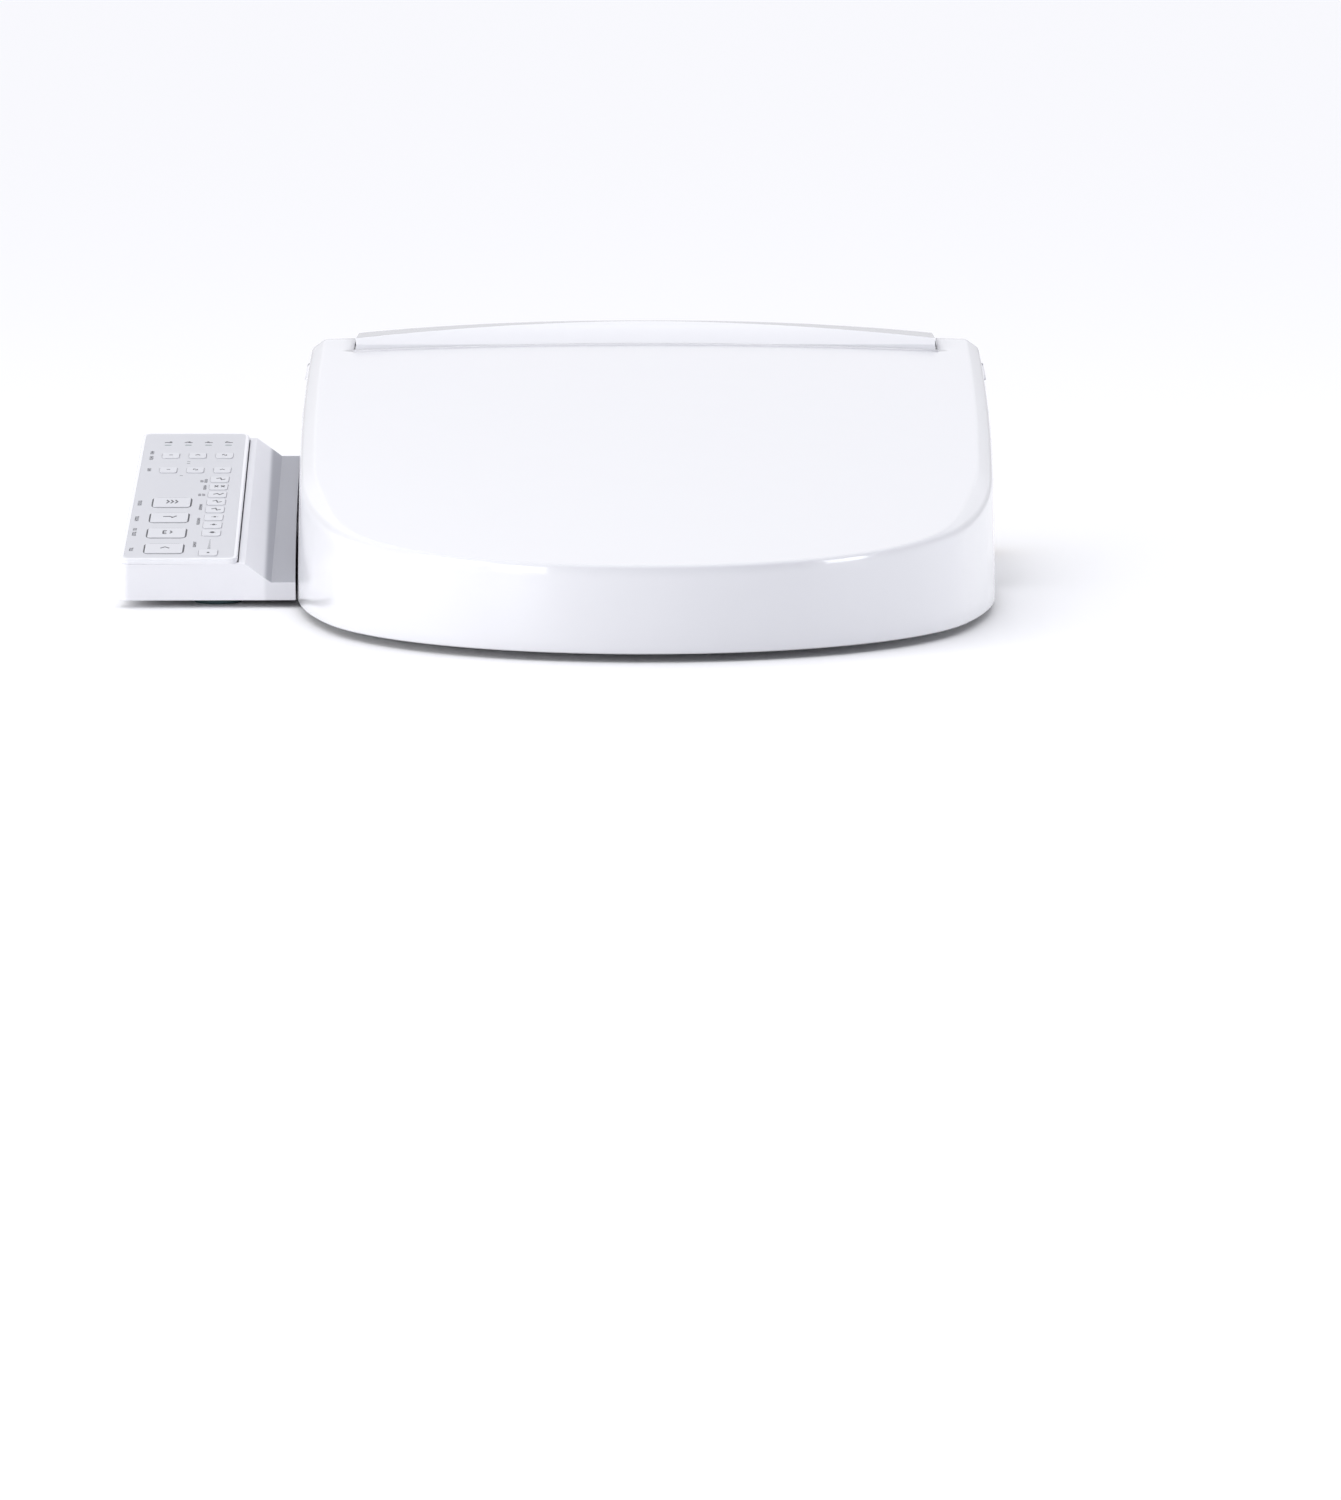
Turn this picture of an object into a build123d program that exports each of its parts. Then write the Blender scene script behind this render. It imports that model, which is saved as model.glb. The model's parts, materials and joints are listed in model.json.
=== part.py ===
from build123d import *
from math import atan, cos, pi, radians, sin, sqrt, tan
import os

os.makedirs("parts", exist_ok=True)

# Electric bidet seat, in millimetres. z = 0 is the rim of the bowl that the seat rests on, +Z is up,
# -Y is the front of the seat and +X is the right-hand side as seen from the front. The origin is
# midway between the two fixing bolts.

# ---- driving dimensions -------------------------------------------------------------------------
LID_FRONT = -470.4          # front of the lid's skirt
LID_HALF = 200.5            # greatest half width of the lid
LID_SIDE_Y = 40.0           # where the lid is widest
NOSE_R = 181.5              # the three tangent arcs of the lid's plan: nose, corner and side
CORNER_R = 430.0
SIDE_R = 5296.0
LID_WALL = 3.0
LINER_INSET = 18.0          # how far the lid's liner keeps inside its outline
EDGE_Y = -468.5             # front edge of the lid's top face
EDGE_Z = 50.5
LID_SLOPE = 0.156           # rise of the lid's top face towards the hinge
SKIRT_Z = 4.5               # lower edge of the skirt at the front and front sides
SKIRT_REAR_Z = 32.0         # raised lower edge of the skirt beside the main unit
CROWN_HALF = 171.5
CROWN_FRONT = 10.6          # how far the lid's top falls from its middle to CROWN_HALF, in front
CROWN_SEAM = 3.3            # the same at the seam behind the lid
SEAM_Y = 9.2

HINGE_Y = 38.0
HINGE_Z = 112.0
PIN_R = 5.0
PIN_GAP = 0.05              # running clearance of the hinge pins
EAR_R = 13.6
BOSS_R = 9.5
SEAM_R = 31.6               # rear edge of the lid, about the hinge axis
STRIP_R = 30.8              # front edge of the rear strip, about the hinge axis

BODY_FRONT = -118.0
BODY_BACK = 52.0
BODY_HALF = 171.0
TRAY_HALF = 184.0
TRAY_TOP = 24.0
WALL = 3.0

SEAT_GAP = 9.0              # the seat's outline lies this far inside the lid's
SEAT_REAR = -128.0
SEAT_Z = 8.0
SEAT_FRONT_TOP = 40.0
SEAT_SLOPE = 0.076
SEAT_SPLIT_Z = 20.0
OPENING_FRONT = -412.0
OPENING_REAR = -162.0
OPENING_HALF = 108.0
ARM_INNER = 172.5
ARM_OUTER = 184.5

PANEL_LEFT = -291.5
PANEL_W = 65.2              # width of the panel's face at its front edge
PANEL_TAPER = 3.5           # how much narrower the face is at its back edge
PANEL_FRONT = -241.0
PANEL_BACK = -60.0
PANEL_Z = 4.2               # underside of the panel
PANEL_EDGE_Z = 27.2         # front edge of the panel's face
PANEL_ANGLE = atan(0.29)
SHELF_EDGE = -200.8         # where the arm leaves the shelf
SHELF_GAP = 1.2             # between the shelf and the lid's skirt
SHELF_DROP = 13.0
FLANK_W = 18.5              # the sloped side between the face and the shelf
ARM_ROOT = 2.4              # how far the arm starts inside the shelf's wall
PANEL_CORNER = 5.0
FACE_T = 3.0                # thickness of the panel's face plate
FILM_T = 0.4

WAND_R = 7.0
WAND_EXIT_Z = 38.0
WAND_ANGLE = radians(22)
WAND_L = 168.0
RACK_MODULE = 1.0
PINION_TEETH = 16

SLOT_SPACING = 140.0
SLOT_L = 30.0
SLOT_R = 4.5


def save(piece, name):
    """Label one finished sub-part and write it as a node of its own."""
    piece.part.label = name
    export_step(piece.part, f"parts/{name}.step")


# ---- shared outlines ----------------------------------------------------------------------------
SIDE_ARC = Vector(LID_HALF - SIDE_R, LID_SIDE_Y)
NOSE_ARC = Vector(0, LID_FRONT + NOSE_R)


def corner_centre():
    """Centre of the corner arc, which touches the side arc from inside and the nose arc from outside."""
    to_side = SIDE_R - CORNER_R
    to_nose = CORNER_R - NOSE_R
    gap = NOSE_ARC - SIDE_ARC
    along = (to_side**2 - to_nose**2 + gap.length**2) / (2 * gap.length)
    across = sqrt(to_side**2 - along**2)
    unit = gap.normalized()
    return SIDE_ARC + unit * along - Vector(unit.Y, -unit.X) * across


CORNER_ARC = corner_centre()


def on_arc(centre, towards, radius):
    """The point at radius from centre, in the direction of towards."""
    return centre + (towards - centre).normalized() * radius


def side_half(y, inset):
    """Half width of the lid on its side arc."""
    return SIDE_ARC.X + sqrt((SIDE_R - inset) ** 2 - (y - LID_SIDE_Y) ** 2)


def lid_outline(inset, rear, z=0.0):
    """The U-shaped plan: nose, corner and side arcs, closed by a straight edge at y = rear."""
    front = Vector(0, LID_FRONT + inset)
    nose_end = NOSE_ARC + (NOSE_ARC - CORNER_ARC).normalized() * (NOSE_R - inset)
    side_start = SIDE_ARC + (CORNER_ARC - SIDE_ARC).normalized() * (SIDE_R - inset)
    side_end = Vector(side_half(rear, inset), rear)
    nose_mid = on_arc(NOSE_ARC, (front + nose_end) / 2, NOSE_R - inset)
    corner_mid = on_arc(CORNER_ARC, (nose_end + side_start) / 2, CORNER_R - inset)
    side_mid = on_arc(SIDE_ARC, (side_start + side_end) / 2, SIDE_R - inset)
    with BuildSketch(Plane.XY.offset(z)) as plan:
        with BuildLine():
            ThreePointArc(front, nose_mid, nose_end)
            ThreePointArc(nose_end, corner_mid, side_start)
            ThreePointArc(side_start, side_mid, side_end)
            Line(side_end, (0, rear))
            mirror(about=Plane.YZ)
        make_face()
    return plan.sketch


def lid_rise(y):
    """Height of the lid's top face along its middle."""
    return EDGE_Z + LID_SLOPE * (y - EDGE_Y)


def lid_section(y, depth, thickness):
    """Section at y of what lies under the crowned top face, from a depth below it."""
    side = 235.0
    share = (y - EDGE_Y) / (SEAM_Y - EDGE_Y)
    crown = CROWN_FRONT + (CROWN_SEAM - CROWN_FRONT) * share
    fall = crown * (side / CROWN_HALF) ** 2
    top = lid_rise(y) - depth
    bottom = top - thickness
    with BuildSketch(Plane.XZ.offset(-y)) as section:
        with BuildLine():
            ThreePointArc((-side, top - fall), (0, top), (side, top - fall))
            Line((side, top - fall), (side, bottom - fall))
            ThreePointArc((side, bottom - fall), (0, bottom), (-side, bottom - fall))
            Line((-side, bottom - fall), (-side, top - fall))
        make_face()
    return section.sketch


def lid_block(depth, thickness=160.0):
    """A slab with the shape of the lid's top face, which is more crowned in front than behind."""
    with BuildPart() as block:
        loft([lid_section(y, depth, thickness) for y in (EDGE_Y - 60, HINGE_Y + 60)], ruled=True)
    return block.part


def side_profile(points, x=0.0):
    """A closed polygon in the YZ plane at x."""
    with BuildSketch(Plane.YZ.offset(x)) as profile:
        with BuildLine():
            Polyline(*points, close=True)
        make_face()
    return profile.sketch


def seat_outline(inset, z=0.0):
    """The ring seen from above: the lid's outline set in, less the open middle."""
    middle = (OPENING_FRONT + OPENING_REAR) / 2
    length = OPENING_REAR - OPENING_FRONT
    with BuildSketch(Plane.XY.offset(z)) as ring:
        add(lid_outline(SEAT_GAP + inset, 0))
        with Locations((0, SEAT_REAR - inset + 100)):
            Rectangle(500, 200, mode=Mode.SUBTRACT)
        with Locations((0, middle)):
            Ellipse(OPENING_HALF + inset, length / 2 + inset, mode=Mode.SUBTRACT)
    return ring.sketch


HINGE_PLANE = Plane(origin=(0, HINGE_Y, HINGE_Z), x_dir=(0, 1, 0), z_dir=(1, 0, 0))


def hinge_disc(radius, x):
    """A circle about the hinge axis, in the plane at x."""
    with BuildSketch(HINGE_PLANE.offset(x)) as disc:
        Circle(radius)
    return disc.sketch


# ---- lid ----------------------------------------------------------------------------------------
def skirt_trim():
    """What is cut away below and behind the skirt, so that it clears the main unit and the arm."""
    return side_profile(
        [(-152, -10), (-138, SKIRT_REAR_Z), (-8, SKIRT_REAR_Z), (27, 100), (80, 100), (80, -10)]
    )


with BuildPart() as lid_cover:
    extrude(lid_outline(0, HINGE_Y), amount=200)
    add(lid_block(0), mode=Mode.INTERSECT)
    top_edges = lid_cover.faces().sort_by(Axis.Z)[-1].edges()
    fillet(top_edges.filter_by(lambda edge: edge.center().Y < HINGE_Y - 1), radius=7)
    split(bisect_by=Plane.XY.offset(SKIRT_Z), keep=Keep.TOP)
    extrude(skirt_trim(), amount=260, both=True, mode=Mode.SUBTRACT)
    # the hollow under the top face
    with BuildPart(mode=Mode.PRIVATE) as hollow:
        extrude(lid_outline(LID_WALL, HINGE_Y + 5, -5), amount=200)
        add(lid_block(LID_WALL), mode=Mode.INTERSECT)
    add(hollow.part, mode=Mode.SUBTRACT)
    # ears that carry the lid on the hinge pins, and the cowls that hide the seat's bosses
    for side in (-1, 1):
        extrude(hinge_disc(EAR_R, side * 187), amount=side * (LID_HALF - 187))
        with BuildSketch(HINGE_PLANE.offset(side * ARM_INNER)) as cowl:
            Circle(EAR_R)
            Circle(EAR_R - 2.8, mode=Mode.SUBTRACT)
            with Locations((-20, -14)):
                Rectangle(40, 80, mode=Mode.SUBTRACT)
            with Locations((0, -23.5)):
                Rectangle(60, 50, mode=Mode.SUBTRACT)
        extrude(cowl.sketch, amount=side * (187 - ARM_INNER))
        extrude(hinge_disc(PIN_R + PIN_GAP, side * 180), amount=side * 15.5, mode=Mode.SUBTRACT)
    # the seam: the lid's rear edge is round about the hinge axis
    with BuildSketch(HINGE_PLANE.offset(-ARM_INNER)) as seam:
        Circle(SEAM_R)
    extrude(seam.sketch, amount=2 * ARM_INNER, mode=Mode.SUBTRACT)
save(lid_cover, "lid_cover")

with BuildPart() as lid_liner:
    extrude(lid_outline(LINER_INSET, -6), amount=200)
    add(lid_block(LID_WALL + 0.02, 2.2), mode=Mode.INTERSECT)
save(lid_liner, "lid_liner")


def seat_top(y):
    """Height of the ring's upper face."""
    return SEAT_FRONT_TOP + SEAT_SLOPE * (y - LID_FRONT - SEAT_GAP)


BUMPER_SPOTS = [(-140, -350), (140, -350), (-150, -215), (150, -215)]

with BuildPart() as lid_bumpers:
    for x, y in BUMPER_SPOTS:
        foot_z = seat_top(y) + 0.5
        with BuildSketch(Plane.XY.offset(foot_z)) as pad:
            with Locations((x, y)):
                Circle(6)
        extrude(pad.sketch, amount=60)
    add(lid_block(LID_WALL + 2.24), mode=Mode.INTERSECT)
    fillet(lid_bumpers.faces().filter_by(Axis.Z).edges(), radius=1.5)
save(lid_bumpers, "lid_bumpers")

# ---- seat ---------------------------------------------------------------------------------------
NOTCH_Z = 52.0              # the crosspiece at the back of the ring clears the washing wand
NOTCH_HALF = 126.0


def seat_solid(inset, floor):
    """The ring set in by inset, with its raised crosspiece, from floor up to the sloped top."""
    with BuildPart() as ring:
        extrude(seat_outline(inset, floor), amount=90)
        back = SEAT_REAR + 50
        top = [(-520, floor - 1), (-520, seat_top(-520) - inset), (back, seat_top(back) - inset)]
        extrude(side_profile(top + [(back, floor - 1)]), amount=260, both=True, mode=Mode.INTERSECT)
        notch_top = NOTCH_Z + inset
        low = OPENING_REAR - 6 - inset
        notch = [(low, -5), (low, notch_top), (back, notch_top), (back, -5)]
        extrude(side_profile(notch), amount=NOTCH_HALF + inset, both=True, mode=Mode.SUBTRACT)
    return ring.part


def seat_shell():
    """The ring as a closed shell with a three-millimetre wall."""
    with BuildPart() as shell:
        add(seat_solid(0, SEAT_Z))
        outer = shell.edges().filter_by(lambda edge: edge.center().Z > SEAT_FRONT_TOP - 2)
        fillet(outer.filter_by(lambda edge: edge.length > 150), radius=5)
        add(seat_solid(WALL, SEAT_Z + WALL), mode=Mode.SUBTRACT)
    return shell.part


ring_shell = seat_shell()

with BuildPart() as seat_top_shell:
    add(ring_shell)
    split(bisect_by=Plane.XY.offset(SEAT_SPLIT_Z), keep=Keep.TOP)
save(seat_top_shell, "seat_top_shell")

with BuildPart() as seat_bottom_shell:
    add(ring_shell)
    split(bisect_by=Plane.XY.offset(SEAT_SPLIT_Z), keep=Keep.BOTTOM)
save(seat_bottom_shell, "seat_bottom_shell")

with BuildPart() as seat_hinge_arms:
    for side in (-1, 1):
        arm = [
            (SEAT_REAR, 44),
            (SEAT_REAR, seat_top(SEAT_REAR) - 3),
            (HINGE_Y - 3.3, HINGE_Z + 8.9),
            (HINGE_Y + 3.3, HINGE_Z - 8.9),
        ]
        extrude(side_profile(arm, side * ARM_INNER), amount=side * (ARM_OUTER - ARM_INNER))
        extrude(hinge_disc(BOSS_R, side * ARM_INNER), amount=side * (ARM_OUTER - ARM_INNER))
    extrude(hinge_disc(PIN_R + PIN_GAP, 0), amount=190, both=True, mode=Mode.SUBTRACT)
save(seat_hinge_arms, "seat_hinge_arms")

with BuildPart() as seat_heater:
    add(seat_solid(WALL + 0.02, SEAT_Z + WALL))
    add(seat_solid(WALL + 0.9, SEAT_Z + WALL), mode=Mode.SUBTRACT)
    keep_high = [(-520, seat_top(-520) - 7), (-520, 120), (-180, 120), (-180, seat_top(-180) - 7)]
    extrude(side_profile(keep_high), amount=260, both=True, mode=Mode.INTERSECT)
save(seat_heater, "seat_heater")

with BuildPart() as seat_bumpers:
    for x, y in BUMPER_SPOTS:
        with BuildSketch() as pad:
            with Locations((x, y)):
                SlotOverall(34, 15, rotation=90)
        extrude(pad.sketch, amount=SEAT_Z)
    fillet(seat_bumpers.faces().filter_by(Axis.Z).group_by(Axis.Z)[0].edges(), radius=1.5)
save(seat_bumpers, "seat_bumpers")

# ---- main unit: casing --------------------------------------------------------------------------
STRIP_TOP = 24.7            # top of the rear strip above the hinge axis
STRIP_FALL = 8.3            # the strip's top falls this far from its middle to its ends


def seam_point(turn, radius):
    """A point of the YZ plane at an angle about the hinge axis, from +Y."""
    return (HINGE_Y + radius * cos(radians(turn)), HINGE_Z + radius * sin(radians(turn)))


def cover_profile(inset):
    """Side view of the top cover: front wall, roof under the lid, then the strip behind the lid."""
    roof = LID_SLOPE * inset
    front_top = (BODY_FRONT + inset, 82)
    roof_front = (BODY_FRONT + 12 + inset, 94 - inset)
    roof_back = (6.5 + inset, 111 + roof - inset)
    seam_low = seam_point(179, STRIP_R - inset)
    seam_mid = seam_point(167, STRIP_R - inset)
    seam_high = seam_point(155, STRIP_R - inset)
    crest = (HINGE_Y, HINGE_Z + STRIP_TOP - inset)
    with BuildSketch(Plane.YZ) as profile:
        with BuildLine():
            Polyline((BODY_FRONT + inset, TRAY_TOP - inset), front_top, roof_front)
            Polyline(roof_front, roof_back, seam_low)
            ThreePointArc(seam_low, seam_mid, seam_high)
            ThreePointArc(seam_high, (24, 133.6 - inset), crest)
            ThreePointArc(crest, (46.5, 135.3 - inset), (BODY_BACK - inset, 131 - inset))
            Line((BODY_BACK - inset, 131 - inset), (BODY_BACK - inset, TRAY_TOP - inset))
            Line((BODY_BACK - inset, TRAY_TOP - inset), (BODY_FRONT + inset, TRAY_TOP - inset))
        make_face()
    return profile.sketch


def strip_crown(inset):
    """Front view of the space under the strip's crowned top."""
    side = BODY_HALF - inset
    top = HINGE_Z + STRIP_TOP - inset
    with BuildSketch(Plane.XZ.offset(-90)) as section:
        with BuildLine():
            ThreePointArc((-side, top - STRIP_FALL), (0, top), (side, top - STRIP_FALL))
            Polyline((side, top - STRIP_FALL), (side, 0), (-side, 0), (-side, top - STRIP_FALL))
        make_face()
    return section.sketch


def cover_solid(inset):
    """The top cover as a filled shape, set in by inset."""
    with BuildPart() as block:
        extrude(cover_profile(inset), amount=BODY_HALF - inset, both=True)
        extrude(strip_crown(inset), amount=260, mode=Mode.INTERSECT)
    return block.part


PORT_R = 12.0               # round port of the washing wand
WAND_DIR = (0, cos(WAND_ANGLE), sin(WAND_ANGLE))
# local x is +X, local z runs back and up along the wand, local y points down
WAND_PLANE = Plane(origin=(0, BODY_FRONT, WAND_EXIT_Z), x_dir=(1, 0, 0), z_dir=WAND_DIR)
DRYER_X = 62.0
DRYER_Z = 44.0
DRYER_W = 40.0
DRYER_H = 22.0

with BuildPart() as top_cover:
    add(cover_solid(0))
    fillet(top_cover.edges().filter_by(Axis.Z).sort_by(Axis.Y)[:2], radius=10)
    add(cover_solid(WALL), mode=Mode.SUBTRACT)
    with BuildSketch(WAND_PLANE.offset(-30)) as port:
        Circle(PORT_R)
    extrude(port.sketch, amount=60, mode=Mode.SUBTRACT)
    with BuildSketch(Plane.XZ.offset(-BODY_FRONT - 10)) as dryer_port:
        with Locations((DRYER_X, DRYER_Z)):
            RectangleRounded(DRYER_W, DRYER_H, 3)
    extrude(dryer_port.sketch, amount=20, mode=Mode.SUBTRACT)
    with BuildSketch(Plane.XZ.offset(-BODY_FRONT - 10)) as sensor_port:
        with Locations((-80, 62)):
            Circle(9)
    extrude(sensor_port.sketch, amount=20, mode=Mode.SUBTRACT)
    extrude(hinge_disc(PIN_R, 0), amount=190, both=True, mode=Mode.SUBTRACT)
save(top_cover, "top_cover")

with BuildPart() as sensor_window:
    with BuildSketch(Plane.XZ.offset(-BODY_FRONT - WALL)) as window:
        with Locations((-80, 62)):
            Circle(8.9)
    extrude(window.sketch, amount=WALL + 0.4)
    fillet(sensor_window.faces().sort_by(Axis.Y)[0].edges(), radius=0.35)
save(sensor_window, "sensor_window")

PLATE_HALF = 100.5
RAIL_HALF = 93.5
RECESS_TOP = 7.5
FLOOR_TOP = 10.5
TRAY_Z = 2.0
INLET_Y = 24.0
INLET_Z = 13.2
CORD_Y = -14.0
CORD_Z = 14.0
FILTER_Y = -78.0
FILTER_Z = 13.2
FILTER_W = 44.0
FILTER_H = 15.0
PAD_SPOTS = [(-152, -102), (152, -102), (-152, 34), (152, 34)]
SCREW_SPOTS = [(x, y) for x in (-130, 0, 130) for y in (-108, -52)]

with BuildPart() as base_tray:
    with BuildSketch(Plane.XY.offset(TRAY_Z)) as plan:
        with Locations((0, (BODY_FRONT + BODY_BACK) / 2)):
            RectangleRounded(2 * TRAY_HALF, BODY_BACK - BODY_FRONT, 8)
    extrude(plan.sketch, amount=TRAY_TOP - TRAY_Z)
    # inside of the tray, open upwards
    with BuildSketch(Plane.XY.offset(FLOOR_TOP)) as inside:
        with Locations((0, (BODY_FRONT + BODY_BACK) / 2)):
            Rectangle(2 * (BODY_HALF - WALL), BODY_BACK - BODY_FRONT - 2 * WALL)
    extrude(inside.sketch, amount=TRAY_TOP, mode=Mode.SUBTRACT)
    # recess for the mounting plate, open to the rear, with a rail along each side
    with BuildSketch() as recess:
        with Locations((0, 8)):
            Rectangle(2 * (PLATE_HALF + 0.5), 100)
    extrude(recess.sketch, amount=RECESS_TOP, mode=Mode.SUBTRACT)
    with BuildSketch(Plane.XY.offset(TRAY_Z)) as rails:
        for side in (-1, 1):
            with Locations((side * (RAIL_HALF + 0.5 + 4), 5)):
                Rectangle(8, 94)
    extrude(rails.sketch, amount=1.6)
    # weight-saving pockets in the underside
    with BuildSketch(Plane.XY.offset(TRAY_Z)) as pockets:
        for side in (-1, 1):
            with Locations((side * 122, -4)):
                Rectangle(34, 84)
    extrude(pockets.sketch, amount=RECESS_TOP - TRAY_Z, mode=Mode.SUBTRACT)
    # bores in the right-hand wall: cord gland, water inlet and the slot of the filter
    with BuildSketch(Plane.YZ.offset(160)) as gland_bore:
        with Locations((CORD_Y, CORD_Z)):
            Circle(6)
    extrude(gland_bore.sketch, amount=40, mode=Mode.SUBTRACT)
    with BuildSketch(Plane.YZ.offset(160)) as inlet_bore:
        with Locations((INLET_Y, INLET_Z + 4)):
            Circle(5)
    extrude(inlet_bore.sketch, amount=40, mode=Mode.SUBTRACT)
    with BuildSketch(Plane.YZ.offset(130)) as filter_slot:
        with Locations((FILTER_Y, FILTER_Z)):
            Rectangle(FILTER_W + 1, FILTER_H + 1)
    extrude(filter_slot.sketch, amount=60, mode=Mode.SUBTRACT)
    # bores in the left-hand wall: drain plug and release button
    with BuildSketch(Plane.YZ.offset(-190)) as left_bores:
        with Locations((24, 13.2)):
            Circle(7.3)
        with Locations((-20, 13.2)):
            SlotOverall(26, 12)
    extrude(left_bores.sketch, amount=26, mode=Mode.SUBTRACT)
    with Locations(*[(x, y, TRAY_Z) for x, y in SCREW_SPOTS]):
        Cylinder(2.1, 40, mode=Mode.SUBTRACT)
        Cylinder(4.2, 6, mode=Mode.SUBTRACT)
save(base_tray, "base_tray")

with BuildPart() as casing_screws:
    for x, y in SCREW_SPOTS:
        with BuildSketch(Plane.XY.offset(TRAY_Z + 0.6)) as head:
            with Locations((x, y)):
                Circle(3.9)
                RegularPolygon(1.6, 6, mode=Mode.SUBTRACT)
        extrude(head.sketch, amount=2.4)
        with BuildSketch(Plane.XY.offset(TRAY_Z + 2.4)) as shank:
            with Locations((x, y)):
                Circle(2)
        extrude(shank.sketch, amount=6)
save(casing_screws, "casing_screws")

with BuildPart() as base_pads:
    with BuildSketch() as pads:
        with Locations(*PAD_SPOTS):
            Circle(9)
    extrude(pads.sketch, amount=TRAY_Z)
    fillet(base_pads.faces().filter_by(Axis.Z).group_by(Axis.Z)[0].edges(), radius=0.8)
save(base_pads, "base_pads")

with BuildPart() as mounting_plate:
    with BuildSketch() as foot:
        with Locations((0, -1)):
            RectangleRounded(2 * RAIL_HALF, 74, 4)
    extrude(foot.sketch, amount=4)
    with BuildSketch(Plane.XY.offset(4)) as lip:
        with Locations((0, -1)):
            RectangleRounded(2 * PLATE_HALF, 74, 4)
    extrude(lip.sketch, amount=3)
    with BuildSketch() as slots:
        with Locations((-SLOT_SPACING / 2, 0), (SLOT_SPACING / 2, 0)):
            SlotOverall(SLOT_L, 2 * SLOT_R)
    extrude(slots.sketch, amount=10, mode=Mode.SUBTRACT)
    with BuildSketch(Plane.XY.offset(4)) as lightening:
        Rectangle(70, 40)
    extrude(lightening.sketch, amount=4, mode=Mode.SUBTRACT)
save(mounting_plate, "mounting_plate")

with BuildPart() as hinge_shafts:
    for side in (-1, 1):
        extrude(hinge_disc(PIN_R, side * 140), amount=side * 55)
save(hinge_shafts, "hinge_shafts")

with BuildPart() as soft_close_dampers:
    for side in (-1, 1):
        extrude(hinge_disc(11, side * 112), amount=side * 52)
        extrude(hinge_disc(PIN_R, side * 139.9), amount=side * 60, mode=Mode.SUBTRACT)
        with BuildSketch(Plane.XY.offset(FLOOR_TOP)) as bracket:
            with Locations((side * 120, HINGE_Y)):
                Rectangle(14, 12)
        extrude(bracket.sketch, amount=HINGE_Z - 10.5 - FLOOR_TOP)
save(soft_close_dampers, "soft_close_dampers")

with BuildPart() as release_button:
    with BuildSketch(Plane.YZ.offset(-TRAY_HALF - 1.6)) as cap:
        with Locations((-20, 13.2)):
            SlotOverall(25.2, 11.2)
    extrude(cap.sketch, amount=9)
    fillet(release_button.faces().sort_by(Axis.X)[0].edges(), radius=1)
    with BuildSketch(Plane.YZ.offset(-TRAY_HALF + 7.4)) as flange:
        with Locations((-20, 13.4)):
            Rectangle(16, 5)
    extrude(flange.sketch, amount=16)
save(release_button, "release_button")

with BuildPart() as drain_plug:
    with BuildSketch(Plane.YZ.offset(-TRAY_HALF - 2.4)) as plug:
        with Locations((24, 13.2)):
            Circle(7.2)
    extrude(plug.sketch, amount=20)
    with BuildSketch(Plane.YZ.offset(-TRAY_HALF - 2.4)) as coin_slot:
        with Locations((24, 13.2)):
            Rectangle(11, 1.8)
    extrude(coin_slot.sketch, amount=1.8, mode=Mode.SUBTRACT)
    groove_x = -TRAY_HALF + 5
    with BuildSketch(Plane.YZ.offset(groove_x)) as groove:
        with Locations((24, 13.2)):
            Circle(8)
            Circle(5.9, mode=Mode.SUBTRACT)
    extrude(groove.sketch, amount=2, mode=Mode.SUBTRACT)
save(drain_plug, "drain_plug")

# ---- main unit: water, air and power ------------------------------------------------------------
with BuildPart() as water_inlet:
    with BuildSketch(Plane.YZ.offset(TRAY_HALF + 0.05)) as flange:
        with Locations((INLET_Y, INLET_Z)):
            RegularPolygon(12.2, 6)
    extrude(flange.sketch, amount=3)
    with BuildSketch(Plane.YZ.offset(TRAY_HALF + 3.05)) as spigot:
        with Locations((INLET_Y, INLET_Z)):
            Circle(10.4)
    extrude(spigot.sketch, amount=12)
    with BuildSketch(Plane.YZ.offset(TRAY_HALF + 5)) as bore:
        with Locations((INLET_Y, INLET_Z)):
            Circle(7)
    extrude(bore.sketch, amount=20, mode=Mode.SUBTRACT)
    with BuildSketch(Plane.YZ.offset(157.2)) as tail:
        with Locations((INLET_Y, INLET_Z + 4)):
            Circle(4.8)
    extrude(tail.sketch, amount=TRAY_HALF + 0.05 - 157.2)
    with BuildSketch(Plane.YZ.offset(150)) as channel:
        with Locations((INLET_Y, INLET_Z + 4)):
            Circle(2.6)
    extrude(channel.sketch, amount=60, mode=Mode.SUBTRACT)
save(water_inlet, "water_inlet")

with BuildPart() as cord_gland:
    with BuildSketch(Plane.YZ.offset(164)) as sleeve:
        with Locations((CORD_Y, CORD_Z)):
            Circle(5.8)
            Circle(3.6, mode=Mode.SUBTRACT)
    extrude(sleeve.sketch, amount=TRAY_HALF - 164)
    with BuildSketch(Plane.YZ.offset(TRAY_HALF)) as collar:
        with Locations((CORD_Y, CORD_Z)):
            Circle(8.2)
            Circle(3.6, mode=Mode.SUBTRACT)
    extrude(collar.sketch, amount=3)
    fillet(cord_gland.faces().sort_by(Axis.X)[-1].edges().sort_by(SortBy.RADIUS)[-1:], radius=1)
save(cord_gland, "cord_gland")

VALVE_X = 145.0
with BuildPart() as inlet_valve:
    with Locations((VALVE_X, INLET_Y, INLET_Z + 6)):
        Box(24, 30, 17)
    with Locations((VALVE_X, INLET_Y, INLET_Z + 28)):
        Cylinder(11, 28)
    with Locations((VALVE_X, INLET_Y, INLET_Z + 43)):
        Cylinder(4, 4)
save(inlet_valve, "inlet_valve")

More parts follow.
